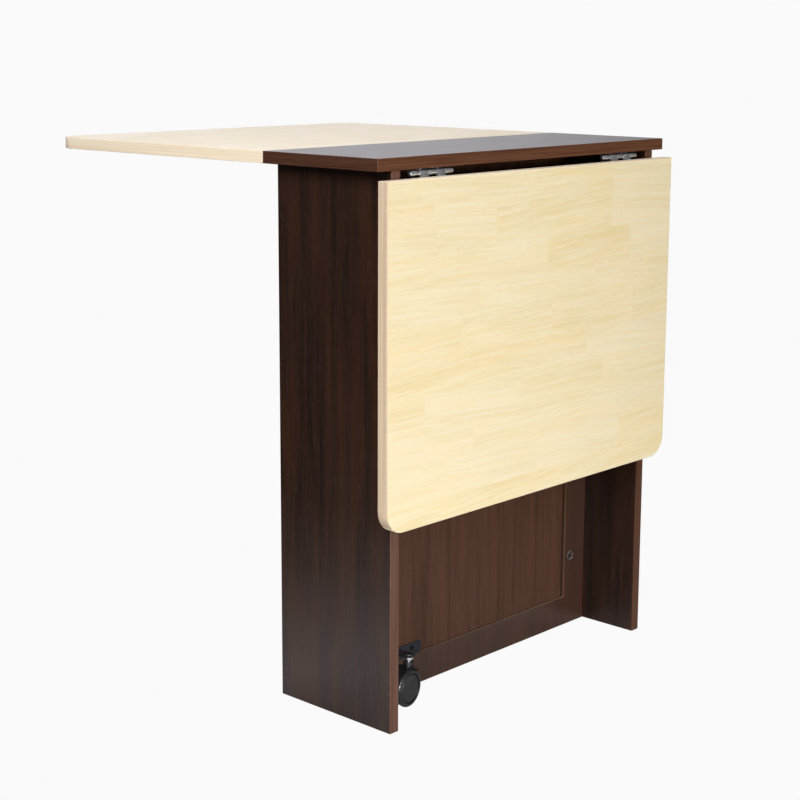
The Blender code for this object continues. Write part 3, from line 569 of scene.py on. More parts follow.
# A lighter copy of the black coat for faces that look up: painted light.
UPWARD_LIT_COAT = make_metal("upward_lit_coat", low=(0.034, 0.037, 0.045), high=(0.050, 0.054, 0.064),
                        roughness=(0.45, 0.60), tooth=1300.0, bump=0.00006, metallic=0.0, specular=0.25)
SCREW_BLACK = make_metal("screw_black", low=(0.0015, 0.0015, 0.0018), high=(0.003, 0.003, 0.0035),
                         roughness=(0.50, 0.65), tooth=1300.0, bump=0.00004, metallic=0.0, specular=0.1)
HOOD_PLASTIC = make_metal("hood_plastic", low=(0.005, 0.005, 0.006), high=(0.010, 0.010, 0.011),
                          roughness=(0.36, 0.50), tooth=1700.0, bump=0.00005, metallic=0.0, specular=0.35)
DISC_PLASTIC = make_metal("disc_plastic", low=(0.014, 0.014, 0.015), high=(0.021, 0.021, 0.022),
                          roughness=(0.24, 0.32), tooth=1700.0, bump=0.00003, metallic=0.0, specular=0.5)
TREAD_PLASTIC = make_metal("tread_plastic", low=(0.008, 0.008, 0.009), high=(0.014, 0.014, 0.014),
                           roughness=(0.40, 0.60), tooth=900.0, bump=0.00008, metallic=0.0, specular=0.35)


# Shared shaping


def axes_matrix(y_axis, z_axis, place=Vector((0, 0, 0))):
    """Turn local Y and Z to the given directions and move the origin to a place."""
    x_axis = y_axis.cross(z_axis)
    turn = Matrix((x_axis, y_axis, z_axis)).transposed().to_4x4()
    return Matrix.Translation(place) @ turn


def add_box(shape, low, high):
    made = bmesh.ops.create_cube(shape, size=1)["verts"]
    size = Vector(high) - Vector(low)
    fit = Matrix.Translation((Vector(low) + Vector(high)) / 2) @ Matrix.Diagonal((*size, 1))
    bmesh.ops.transform(shape, matrix=fit, verts=made)


def add_cylinder(shape, segments, radius, low, high, matrix=HERE, taper=0.0):
    """Closed cylinder round local Z between two heights, narrower at its top by a taper."""
    middle = Matrix.Translation((0, 0, (low + high) / 2))
    bmesh.ops.create_cone(shape, cap_ends=True, segments=segments, radius1=radius, radius2=radius - taper,
                          depth=high - low, matrix=matrix @ middle)


def add_outline(shape, points, matrix=HERE):
    """One flat face through points of local X and Y."""
    return shape.faces.new([shape.verts.new(matrix @ Vector((x, y, 0))) for x, y in points])


def raise_faces(shape, vector):
    """Extrude all the faces of a flat shape into a solid."""
    made = bmesh.ops.extrude_face_region(shape, geom=shape.faces[:])["geom"]
    moved = [item for item in made if isinstance(item, bmesh.types.BMVert)]
    bmesh.ops.translate(shape, vec=vector, verts=moved)


def sweep_face(shape, face, axis, angle, steps):
    """Sweep a face round an axis through the origin."""
    swept = [face, *face.edges, *face.verts]
    bmesh.ops.spin(shape, geom=swept, cent=(0, 0, 0), axis=axis, angle=angle, steps=steps)


def turn_profile(shape, profile, steps, matrix=HERE):
    """Spin a chain of (radius, height) points a full turn round local Z."""
    points = [shape.verts.new((radius, 0, height)) for radius, height in profile]
    edges = [shape.edges.new(pair) for pair in zip(points, points[1:])]
    bmesh.ops.spin(shape, geom=points + edges, cent=(0, 0, 0), axis=(0, 0, 1), angle=math.tau,
                   steps=steps, use_merge=True)
    bmesh.ops.transform(shape, matrix=matrix, verts=shape.verts)


def quarter_round(centre, radius, start, steps=ROUNDING_STEPS):
    """Points of a quarter circle from a start angle, in radius and height."""
    points = []
    for step in range(steps + 1):
        angle = start + math.pi / 2 * step / steps
        points.append((centre[0] + radius * math.cos(angle), centre[1] + radius * math.sin(angle)))
    return points


def sharp_edges(shape, angle=CREASE):
    return [edge for edge in shape.edges if edge.is_manifold and edge.calc_face_angle() > angle]


def edges_along(shape, axis, length):
    """Edges that run along an axis over a given length."""
    found = []
    for edge in shape.edges:
        run = edge.verts[1].co - edge.verts[0].co
        if abs(abs(run[axis]) - length) < SAME and abs(run.length - length) < SAME:
            found.append(edge)
    return found


def soften(shape, edges, width, segments=2):
    kept = dict(affect="EDGES", profile=0.5, material=-1, offset_type="OFFSET", clamp_overlap=True)
    return bmesh.ops.bevel(shape, geom=edges, offset=width, segments=segments, **kept)["faces"]


def soften_all(shape, width, segments=2, angle=CREASE):
    """Soften every sharp edge of a closed shape."""
    bmesh.ops.recalc_face_normals(shape, faces=shape.faces)
    soften(shape, sharp_edges(shape, angle), width, segments)


def shape_mesh(shape, name="shape"):
    """Close a bmesh into mesh data with its faces outward."""
    bmesh.ops.remove_doubles(shape, verts=shape.verts, dist=SAME)
    bmesh.ops.recalc_face_normals(shape, faces=shape.faces)
    mesh = bpy.data.meshes.new(name)
    shape.to_mesh(mesh)
    shape.free()
    return mesh


def combine(mesh, shape, operation):
    """Boolean of mesh data with a closed bmesh, applied."""
    tool = bpy.data.objects.new("tool", shape_mesh(shape))
    work = bpy.data.objects.new("work", mesh)
    for item in (tool, work):
        bpy.context.collection.objects.link(item)
    step = work.modifiers.new("combine", "BOOLEAN")
    step.operation = operation
    step.object = tool
    seen = work.evaluated_get(bpy.context.evaluated_depsgraph_get())
    result = bpy.data.meshes.new_from_object(seen)
    bpy.data.objects.remove(work)
    bpy.data.objects.remove(tool)
    return result


def smooth_round(mesh, angle=CREASE):
    """Shade a mesh smooth up to a crease."""
    mesh.shade_smooth()
    mesh.set_sharp_from_angle(angle=angle)
    return mesh


def add_piece(name, mesh, materials, body, slot, *nodes, matrix=HERE):
    """Place a finished mesh as a piece that rides a body and stands for its nodes."""
    placed = mesh.copy()
    placed.name = name
    placed.transform(matrix)
    for material in materials:
        placed.materials.append(material)
    piece = bpy.data.objects.new(name, placed)
    bpy.context.collection.objects.link(piece)
    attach(piece, body)
    if nodes:
        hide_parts(*nodes)
    return piece


# Boards and their cam locks


def run_axis(face, thickness):
    """Axis along which a narrow face runs round its board."""
    spans = {}
    for axis in range(3):
        places = [vert.co[axis] for vert in face.verts]
        spans[axis] = max(places) - min(places)
    del spans[thickness]
    return max(spans, key=spans.get)


def dress_board(shape, thickness):
    """Laminate on both faces, edge band on the narrow sides, and softened arrises."""
    bmesh.ops.recalc_face_normals(shape, faces=shape.faces)
    shape.normal_update()
    for face in shape.faces:
        wide = abs(face.normal[thickness]) > LOOKING
        face.material_index = FACE_SLOT if wide else X_EDGE_SLOT + run_axis(face, thickness)
        face.smooth = not wide and max(abs(value) for value in face.normal) < SQUARE
    for face in soften(shape, sharp_edges(shape), ARRIS, ARRIS_STEPS):
        face.material_index = X_EDGE_SLOT + run_axis(face, thickness)
        face.smooth = True
    return shape


def box_board(node, thickness):
    shape = bmesh.new()
    add_box(shape, *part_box(node))
    return dress_board(shape, thickness)


def leaf_board(node, thickness, far_axis, far_high):
    """Leaf with its two outer corners rounded."""
    low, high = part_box(node)
    if not far_high:
        high[far_axis] += LEAF_HEAD_LIFT
    shape = bmesh.new()
    add_box(shape, low, high)
    far = high[far_axis] if far_high else low[far_axis]
    corners = []
    for edge in shape.edges:
        ends = [vert.co for vert in edge.verts]
        outer = all(abs(end[far_axis] - far) < SAME for end in ends)
        if outer and abs(ends[0][thickness] - ends[1][thickness]) > BOARD / 2:
            corners.append(edge)
    soften(shape, corners, LEAF_CORNER_RADIUS, LEAF_CORNER_STEPS)
    return dress_board(shape, thickness)


def centre_shape():
    """Centre board with its U-shaped opening for the gate."""
    low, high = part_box("centre_panel")
    right = [(high.x, low.z), (high.x, high.z), (OPENING_HALF, high.z), (OPENING_HALF, RAIL_HEIGHT)]
    outline = right + [(-x, z) for x, z in reversed(right)]
    shape = bmesh.new()
    add_outline(shape, outline, axes_matrix(Z_AXIS, -Y_AXIS, Y_AXIS * high.y))
    raise_faces(shape, Vector((0, low.y - high.y, 0)))
    dress_board(shape, Y)
    for face in shape.faces:
        middle = face.calc_center_median()
        inside = abs(middle.x) < OPENING_HALF + ARRIS and middle.z > RAIL_HEIGHT - ARRIS
        # Edges inside the opening take the lighter rail and stile copies: painted light.
        if inside and face.material_index != FACE_SLOT:
            face.material_index = LIT_RAIL_SLOT if face.material_index == X_EDGE_SLOT else LIT_STILE_SLOT
    return shape


def cross_cutter(arm, half_width, low, high):
    """Cross-shaped cutter for a driver socket."""
    quarter = [(arm, -half_width), (arm, half_width), (half_width, half_width)]
    outline = []
    for step in range(4):
        turn = Matrix.Rotation(step * math.pi / 2, 2)
        outline += [turn @ Vector(point) for point in quarter]
    shape = bmesh.new()
    add_outline(shape, outline, Matrix.Translation((0, 0, low)))
    raise_faces(shape, Vector((0, 0, high - low)))
    return shape


def cam_bores(places):
    """One cutter for blind bores whose open end is at each place's local zero."""
    radius = CAM_RADIUS + CAM_BORE_PLAY
    bores = bmesh.new()
    for place in places:
        add_cylinder(bores, CAM_STEPS, radius, -CAM_BORE_PLAY, CAM_DEPTH + CAM_BORE_PLAY, place)
    for face in bores.faces:
        face.material_index = BORE_SLOT
    return bores


def cam_mesh():
    """Round cam lock: raised rim, sunk dial and a cross socket, its open face near local zero."""
    rim = CAM_RADIUS - CAM_RIM
    dial = CAM_RECESS + CAM_DIAL_DEPTH
    button = dial - CAM_BUTTON_RISE
    profile = [(0, CAM_DEPTH), (CAM_RADIUS - CAM_BACK_BEVEL, CAM_DEPTH),
               (CAM_RADIUS, CAM_DEPTH - CAM_BACK_BEVEL)]
    profile += [(CAM_RADIUS - CAM_ROUND * inward, CAM_RECESS + CAM_ROUND * back)
                for inward, back in CAM_ROUND_POINTS]
    profile += [(rim + CAM_RIM_BEVEL, CAM_RECESS), (rim, CAM_RECESS + CAM_RIM_BEVEL), (rim, dial),
                (CAM_BUTTON_RADIUS, dial), (CAM_BUTTON_RADIUS - CAM_BUTTON_TAPER, button), (0, button)]
    shape = bmesh.new()
    turn_profile(shape, profile, CAM_STEPS)
    socket = cross_cutter(CAM_SOCKET_ARM, CAM_SOCKET_HALF, CAM_RECESS - CUTTER_CLEAR, CAM_SOCKET_DEPTH)
    mesh = combine(shape_mesh(shape), socket, "DIFFERENCE")
    for face in mesh.polygons:
        sunk = CAM_RECESS + 2 * HAIR < face.center.z < CAM_DEPTH / 2
        # Faces sunk inside the rim take the dark brown finish: painted shade in the dial and socket.
        face.material_index = int(sunk and face.center.xy.length < rim + HAIR)
    return smooth_round(mesh)


def add_lock(base, cam, inward, axis, level):
    """Set a cam lock where its node is, sunk from a board's face at a level; returns its place."""
    node = f"{base}_cam"
    low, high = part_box(node)
    middle = (low + high) / 2
    middle[axis] = level
    place = axes_matrix(Z_AXIS, inward, middle)
    add_piece(f"{base}_lock", cam, [CAM_ZINC, CAM_SOCKET_SHADE], "carcass", "zinc_steel", node, matrix=place)
    return place


def build_carcass():
    """Top, side panels and centre board, with the cam locks in their bores."""
    top = shape_mesh(box_board("top_panel", Z))
    add_piece("top_board", top, [WENGE_TOP, *WENGE_EDGES], "carcass", "wenge_board", "top_panel")

    cam = cam_mesh()
    # The right panel takes the darker copy of the band on its upright edges: painted shade.
    side_edges = {"left": WENGE_EDGES, "right": [*WENGE_EDGES[:2], RIGHT_SHADE_BAND]}
    for side, end in ((-1, "left"), (1, "right")):
        node = f"{end}_side_panel"
        inner = side * min(abs(corner.x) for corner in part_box(node))
        places = [add_lock(f"{end}_{row}_top", cam, side * X_AXIS, X, inner) for row in ("front", "rear")]
        mesh = combine(shape_mesh(box_board(node, X)), cam_bores(places), "DIFFERENCE")
        materials = [WENGE_SIDE_SHADED, *side_edges[end]]
        add_piece(f"{end}_side_board", mesh, materials, "carcass", "wenge_board", node)

    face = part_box("centre_panel")[0].y
    places = [add_lock(f"{end}_{level}_centre", cam, Y_AXIS, Y, face)
              for end in ("left", "right") for level in ("lower", "upper")]
    mesh = combine(shape_mesh(centre_shape()), cam_bores(places), "DIFFERENCE")
    materials = [WENGE_CENTRE_SHADED, *WENGE_EDGES, *LIT_OPENING_BANDS]
    add_piece("centre_board", mesh, materials, "carcass", "wenge_board", "centre_panel")


def build_leaves_and_gates():
    for row, thickness, far_axis, far_high in (("front", Y, Z, False), ("rear", Z, Y, True)):
        node = f"{row}_leaf"
        leaf = shape_mesh(leaf_board(node, thickness, far_axis, far_high))
        add_piece(f"{node}_board", leaf, MAPLE[row], node, "maple_board", node)
        node = f"{row}_gate"
        gate = shape_mesh(box_board(node, Y))
        add_piece(f"{node}_board", gate, [WENGE_GATE_LIT, *WENGE_EDGES], node, "wenge_board", node)


# Hinges and screws


def knuckle_spans(length, count, first):
    """Every second knuckle of a barrel, with running gaps between."""
    step = length / count
    spans = []
    for index in range(first, count, 2):
        low = KNUCKLE_GAP / 2 if index > 0 else 0
        high = KNUCKLE_GAP / 2 if index < count - 1 else 0
        start = -length / 2 + index * step
        spans.append((start + low, start + step - high))
    return spans


def hole_cutter(shape, head, plate, place):
    """Countersunk screw hole through a plate whose open face is at local zero."""
    wide = head + COUNTERSINK_PLAY
    narrow = wide - COUNTERSINK_DEPTH
    profile = [(0, -plate), (wide, -plate), (wide, HAIR), (narrow, COUNTERSINK_DEPTH),
               (narrow, 2 * plate), (0, 2 * plate)]
    hole = bmesh.new()
    turn_profile(hole, profile, ROUND_STEPS, place)
    mesh = shape_mesh(hole)
    shape.from_mesh(mesh)
    bpy.data.meshes.remove(mesh)


def hinge_half_mesh(first, length, seat, barrel, plate, reach, knuckles, row, pitch, head, corner):
    """One half of a butt hinge: plate along +Y at a seat height in Z, cranked down to knuckles round X."""
    clear = seat + KNUCKLE_GAP
    half = length / 2
    spans = knuckle_spans(length, knuckles, first)
    stations = sorted({-half, half, *(round(x, 7) for span in spans for x in span)})
    level = Matrix.Translation((0, 0, seat - plate))
    shape = bmesh.new()
    add_outline(shape, [*((x, clear) for x in stations), (half, reach), (-half, reach)], level)
    for start, end in spans:
        add_outline(shape, [(start, clear), (start, 0), (end, 0), (end, clear)], level)
    bmesh.ops.remove_doubles(shape, verts=shape.verts, dist=SAME)
    raise_faces(shape, Vector((0, 0, plate)))
    tips = [vert for vert in shape.verts if abs(vert.co.y) < SAME]
    bmesh.ops.translate(shape, vec=(0, 0, barrel - seat), verts=tips)
    corners = [edge for edge in edges_along(shape, Z, plate) if edge.verts[0].co.y > reach - SAME]
    soften(shape, corners, corner, PLATE_CORNER_STEPS)
    bmesh.ops.recalc_face_normals(shape, faces=shape.faces)
    roots = [face for face in shape.faces if all(abs(vert.co.y) < SAME for vert in face.verts)]
    for root in roots:
        sweep_face(shape, root, (1, 0, 0), ROLL_TURN, ROLL_STEPS)
    bmesh.ops.remove_doubles(shape, verts=shape.verts, dist=SAME)
    soften_all(shape, PLATE_ARRIS, angle=ROLL_CREASE)
    holes = bmesh.new()
    for side in (-1, 1):
        hole_cutter(holes, head, plate, Matrix.Translation((side * pitch / 2, row, seat - plate)))
    return smooth_round(combine(shape_mesh(shape), holes, "DIFFERENCE"))


def pin_mesh(length, radius, plate):
    """Hinge pin along X with a domed head at each end of the barrel."""
    shank = radius - plate - HAIR
    half = length / 2 + 2 * HAIR
    crown = half + PIN_HEAD_HEIGHT
    head = min(PIN_HEAD_RADIUS, radius - PIN_HEAD_INSET)
    cap = [(head * share, crown - drop) for share, drop in PIN_DOME] + [(head, half), (shank, half)]
    shape = bmesh.new()
    profile = cap + [(wide, -place) for wide, place in reversed(cap)]
    turn_profile(shape, profile, ROUND_STEPS, axes_matrix(Z_AXIS, X_AXIS))
    return smooth_round(shape_mesh(shape), SOFT_CREASE)


def screw_mesh(head, length):
    """Countersunk screw with a cross socket: its head's flat is at local zero, its shank along +Z."""
    shank = head * SCREW_SHANK
    profile = [(0, -SCREW_CROWN), (head * SCREW_SHOULDER, -SCREW_CROWN * 2 / 3), (head - HAIR, 0),
               (head, HAIR), (shank, COUNTERSINK_DEPTH), (shank, length - shank), (0, length)]
    shape = bmesh.new()
    turn_profile(shape, profile, ROUND_STEPS)
    arm = head * SCREW_SOCKET_ARM
    socket = cross_cutter(arm, head * SCREW_SOCKET_HALF, -CUTTER_CLEAR, SCREW_SOCKET_DEPTH)
    return smooth_round(combine(shape_mesh(shape), socket, "DIFFERENCE"))


def screw_pair(screw, pitch, row, open_face):
    """Two screws of one plate, in the hinge's frame."""
    shape = bmesh.new()
    for side, turn in zip((-1, 1), SCREW_TURNS):
        one = screw.copy()
        place = Matrix.Translation((side * pitch / 2, row, open_face))
        one.transform(place @ Matrix.Rotation(turn, 4, "Z"))
        shape.from_mesh(one)
        bpy.data.meshes.remove(one)
    return smooth_round(shape_mesh(shape))


def hinge_kit(sizes, screw_length):
    """Fixed half, swinging half, pin and screws of one hinge size."""
    halves = [hinge_half_mesh(first, **sizes) for first in (0, 1)]
    pin = pin_mesh(sizes["length"], sizes["barrel"], sizes["plate"])
    screw = screw_mesh(sizes["head"], screw_length)
    screws = screw_pair(screw, sizes["pitch"], sizes["row"], sizes["seat"] - sizes["plate"])
    return (*halves, pin, screws)


def add_zinc(name, mesh, body, matrix, *nodes):
    add_piece(name, mesh, [ZINC], body, "zinc_steel", *nodes, matrix=matrix)


def add_half(node, piece, mesh, screws, body, matrix):
    """One half of a hinge with its screws."""
    add_zinc(piece, mesh, body, matrix, node)
    add_zinc(f"{piece}_screws", screws, body, matrix)


def build_leaf_hinges():
    fixed, swinging, pin, screws = hinge_kit(LEAF_HINGE, LEAF_SCREW_LENGTH)
    for row, side in (("front", -1), ("rear", 1)):
        leaf_turn = axes_matrix(-Z_AXIS, -Y_AXIS) if side < 0 else HERE
        for end, name in ((-1, "left"), (1, "right")):
            place = Vector((end * LEAF_HINGE_X, side * LEAF_AXIS_Y, LEAF_AXIS_HEIGHT))
            base = f"{row}_{name}"
            matrix = axes_matrix(-side * Y_AXIS, Z_AXIS, place)
            add_half(f"{base}_top_plate", f"{base}_top_hinge", fixed, screws, "carcass", matrix)
            add_zinc(f"{base}_hinge_pin", pin, "carcass", matrix, f"{base}_leaf_pin")
            matrix = Matrix.Translation(place) @ leaf_turn
            add_half(f"{base}_leaf_plate", f"{base}_leaf_hinge", swinging, screws, f"{row}_leaf", matrix)


def build_gate_hinges():
    fixed, swinging, pin, screws = hinge_kit(GATE_HINGE, GATE_SCREW_LENGTH)
    for row, axis in (("front", FRONT_GATE_AXIS), ("rear", REAR_GATE_AXIS)):
        stile_turn = axes_matrix(Y_AXIS, X_AXIS) if row == "front" else axes_matrix(X_AXIS, -Y_AXIS)
        for height, level in zip(GATE_HINGE_HEIGHTS, ("lower", "upper")):
            base = f"{row}_{level}"
            move = Matrix.Translation(axis + Z_AXIS * height)
            matrix = move @ stile_turn
            add_half(f"{base}_stile_plate", f"{base}_stile_hinge", fixed, screws, "carcass", matrix)
            add_zinc(f"{base}_gate_hinge_pin", pin, "carcass", matrix, f"{base}_gate_pin")
            matrix = move @ axes_matrix(Y_AXIS, -X_AXIS)
            add_half(f"{base}_gate_plate", f"{base}_gate_hinge", swinging, screws, f"{row}_gate", matrix)


# Rest blocks


def block_mesh(node, depth_axis, depth_way, length_axis):
    """Stepped rest block: the thin part bears on the gate, the lip stops it at the right-hand end."""
    low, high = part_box(node)
    size = high - low
    seat = low[depth_axis] if depth_way > 0 else high[depth_axis]
    thick = size[depth_axis]
    thin = thick - BLOCK_LIP
    edge = high.x - BLOCK_LIP
    outline = [(low.x, 0), (high.x, 0), (high.x, thick), (edge, thick), (edge, thin), (low.x, thin)]
    shape = bmesh.new()
    corners = []
    for x, depth in outline:
        corner = Vector((x, 0, 0))
        corner[depth_axis] = seat + depth_way * depth
        corner[length_axis] = low[length_axis]
        corners.append(shape.verts.new(corner))
    shape.faces.new(corners)
    run = Vector((0, 0, 0))
    run[length_axis] = size[length_axis]
    raise_faces(shape, run)
    return shape_mesh(dress_board(shape, length_axis))


def build_blocks():
    for row, depth_axis, depth_way, length_axis in (("front", Y, 1, Z), ("rear", Z, -1, Y)):
        node = f"{row}_leaf_rest_block"
        block = block_mesh(node, depth_axis, depth_way, length_axis)
        add_piece(f"{row}_rest_block", block, MAPLE[row], f"{row}_leaf", "maple_board", node)


# Castors


def bracket_screw_place(x, side):
    """Where a screw's head sits on the bracket, its shank towards the gate."""
    place = Vector((x, side * (SEAT_GAP + BRACKET_PLATE), BRACKET_SCREW_HEIGHT))
    return axes_matrix(Z_AXIS, -side * Y_AXIS, place)


def bracket_mesh(side):
    """Angle bracket, from the stem's X and the gate's face: stepped plate, round tongue and screw holes."""
    outline = [(BRACKET_LEFT, BRACKET_BOTTOM), (BRACKET_RIGHT, BRACKET_BOTTOM), (BRACKET_RIGHT, BRACKET_TOP),
               (BRACKET_STEP, BRACKET_TOP), (BRACKET_STEP, TONGUE_TOP), (BRACKET_LEFT, TONGUE_TOP)]
    plate = bmesh.new()
    add_outline(plate, outline, axes_matrix(Z_AXIS, -Y_AXIS, Y_AXIS * side * SEAT_GAP))
    raise_faces(plate, Y_AXIS * side * BRACKET_PLATE)
    soften(plate, edges_along(plate, Y, BRACKET_PLATE), BRACKET_CORNER, BRACKET_CORNER_STEPS)
    soften_all(plate, PLATE_ARRIS)

    half = TONGUE_HALF_WIDTH
    root = side * (SEAT_GAP + BRACKET_PLATE / 2)
    end = side * (CASTOR_STAND_OFF + half)
    outline = [(-half, root), (half, root), (half, end), (-half, end)]
    tongue = bmesh.new()
    add_outline(tongue, outline, Matrix.Translation((0, 0, TONGUE_TOP - BRACKET_PLATE)))
    raise_faces(tongue, Z_AXIS * BRACKET_PLATE)
    tips = [edge for edge in edges_along(tongue, Z, BRACKET_PLATE) if abs(edge.verts[0].co.y - end) < SAME]
    soften(tongue, tips, half - HAIR / 2, TONGUE_STEPS)
    soften_all(tongue, PLATE_ARRIS)

    holes = bmesh.new()
    for x in BRACKET_SCREWS:
        hole_cutter(holes, BRACKET_SCREW_HEAD, BRACKET_PLATE, bracket_screw_place(x, side))
    mesh = combine(combine(shape_mesh(plate), tongue, "UNION"), holes, "DIFFERENCE")
    for face in mesh.polygons:
        # Faces that look up take the lighter coat: painted light on the tongue's top.
        face.material_index = int(face.normal.z > UPWARD)
    return smooth_round(mesh)


def stem_mesh():
    """Stem with a six-sided collar under the tongue and a riveted end above it."""
    profile = [(0, STEM_SHOULDER), (STEM_RADIUS - STEM_BEVEL, STEM_SHOULDER),
               (STEM_RADIUS, STEM_SHOULDER + STEM_BEVEL), (STEM_RADIUS, RIVET_SEAT),
               (RIVET_RADIUS, RIVET_SEAT)]
    profile += [(radius, RIVET_SEAT + height) for radius, height in RIVET_DOME]
    shape = bmesh.new()
    turn_profile(shape, profile, STEM_STEPS)
    collar = bmesh.new()
    add_cylinder(collar, COLLAR_SIDES, COLLAR_RADIUS, COLLAR_BOTTOM, COLLAR_TOP)
    soften_all(collar, COLLAR_BEVEL)
    mesh = combine(shape_mesh(shape), collar, "UNION")
    for face in mesh.polygons:
        face.material_index = int(face.center.z > RIVET_SEAT + HAIR)
    return smooth_round(mesh)


def fender_shape():
    """Arched fender over the wheels, round the axle at the origin."""
    section = [(FENDER_INSIDE, -WHEEL_OUTER), (FENDER_OUTSIDE, -WHEEL_OUTER),
               (FENDER_OUTSIDE, WHEEL_OUTER), (FENDER_INSIDE, WHEEL_OUTER)]
    shape = bmesh.new()
    face = add_outline(shape, section, Matrix.Rotation(-FENDER_START, 4, "Y"))
    sweep_face(shape, face, (0, -1, 0), FENDER_END - FENDER_START, FENDER_STEPS)
    soften_all(shape, FENDER_BEVEL, ARRIS_STEPS)
    return shape


def boss_shape(stem, wall):
    """Boss for the stem, cut off where the wheels turn."""
    boss = bmesh.new()
    add_cylinder(boss, BOSS_STEPS, BOSS_RADIUS + BOSS_DRAFT, AXLE_HEIGHT, BOSS_TOP, stem, BOSS_DRAFT)
    top = BOSS_TOP - AXLE_HEIGHT - SAME
    rim = [edge for edge in sharp_edges(boss) if edge.verts[0].co.z > top]
    soften(boss, rim, BOSS_BEVEL, ARRIS_STEPS)
    hollow = bmesh.new()
    add_cylinder(hollow, HOLLOW_STEPS, wall, -2 * WHEEL_OUTER, 2 * WHEEL_OUTER, axes_matrix(Z_AXIS, -Y_AXIS))
    shape = bmesh.new()
    shape.from_mesh(combine(shape_mesh(boss), hollow, "DIFFERENCE"))
    return shape


def arc_points(radius, start, end):
    """Points of an arc from one angle to another, both ends among them."""
    angles = [start + (end - start) * step / WEB_STEPS for step in range(WEB_STEPS + 1)]
    return [(radius * math.cos(angle), radius * math.sin(angle)) for angle in angles]


def web_shape(wall):
    """Web between the wheels, from a round foot at the axle up to the fender."""
    outline = arc_points(WEB_FOOT_RADIUS, FENDER_END, math.tau + FENDER_START)
    outline += arc_points(wall, FENDER_START, FENDER_END)
    shape = bmesh.new()
    add_outline(shape, outline, axes_matrix(Z_AXIS, -Y_AXIS, Y_AXIS * WEB_HALF_WIDTH))
    raise_faces(shape, Y_AXIS * -2 * WEB_HALF_WIDTH)
    return shape


def hood_mesh():
    """Castor body with its axle at the origin: fender, boss and web, bored for the stem."""
    wall = (FENDER_INSIDE + FENDER_OUTSIDE) / 2
    stem = Matrix.Translation((CASTOR_TRAIL, 0, -AXLE_HEIGHT))
    mesh = combine(shape_mesh(fender_shape()), boss_shape(stem, wall), "UNION")
    mesh = combine(mesh, web_shape(wall), "UNION")
    bore = bmesh.new()
    radius = STEM_RADIUS + SEAT_GAP
    add_cylinder(bore, STEM_STEPS, radius, STEM_SHOULDER - SEAT_GAP, TONGUE_TOP - SEAT_GAP, stem)
    return smooth_round(combine(mesh, bore, "DIFFERENCE"))


def wheel_mesh():
    """Wheel with a rounded tread and a closed, crowned outer disc, turned round local Z."""
    blind = AXLE_HALF + SEAT_GAP
    bore = AXLE_RADIUS + SEAT_GAP
    tread = WHEEL_RADIUS - WHEEL_ROUNDING
    rim = WHEEL_RADIUS - WHEEL_SHOULDER
    disc = DISC_RADIUS - DISC_ROUNDING
    groove = WHEEL_OUTER - DISC_CROWN - DISC_ROUNDING
    profile = [(0, blind), (bore, blind), (bore, WHEEL_INNER), (tread, WHEEL_INNER)]
    profile += quarter_round((tread, WHEEL_INNER + WHEEL_ROUNDING), WHEEL_ROUNDING, -math.pi / 2)[1:]
    profile += quarter_round((rim, WHEEL_OUTER - WHEEL_SHOULDER), WHEEL_SHOULDER, 0, SHOULDER_STEPS)
    profile += [(DISC_RADIUS + WHEEL_GROOVE, WHEEL_OUTER - DISC_CROWN / 2),
                (DISC_RADIUS + WHEEL_GROOVE / 2, groove)]
    profile += quarter_round((disc, groove), DISC_ROUNDING, 0)
    profile += [(disc * DISC_RING, WHEEL_OUTER - DISC_CROWN / 3), (0, WHEEL_OUTER)]
    shape = bmesh.new()
    turn_profile(shape, profile, WHEEL_STEPS)
    mesh = shape_mesh(shape)
    for face in mesh.polygons:
        outer = face.center.xy.length > tread - TREAD_MARGIN
        face.material_index = int(outer and face.center.z < WHEEL_OUTER - WHEEL_SHOULDER)
    return smooth_round(mesh, SOFT_CREASE)


def axle_mesh():
    """Axle along Y with bevelled ends."""
    end = [(0, AXLE_HALF), (AXLE_RADIUS - AXLE_BEVEL, AXLE_HALF), (AXLE_RADIUS, AXLE_HALF - AXLE_BEVEL)]
    profile = [(radius, -place) for radius, place in end] + end[::-1]
    shape = bmesh.new()
    turn_profile(shape, profile, ROUND_STEPS, axes_matrix(Z_AXIS, Y_AXIS))
    return smooth_round(shape_mesh(shape))


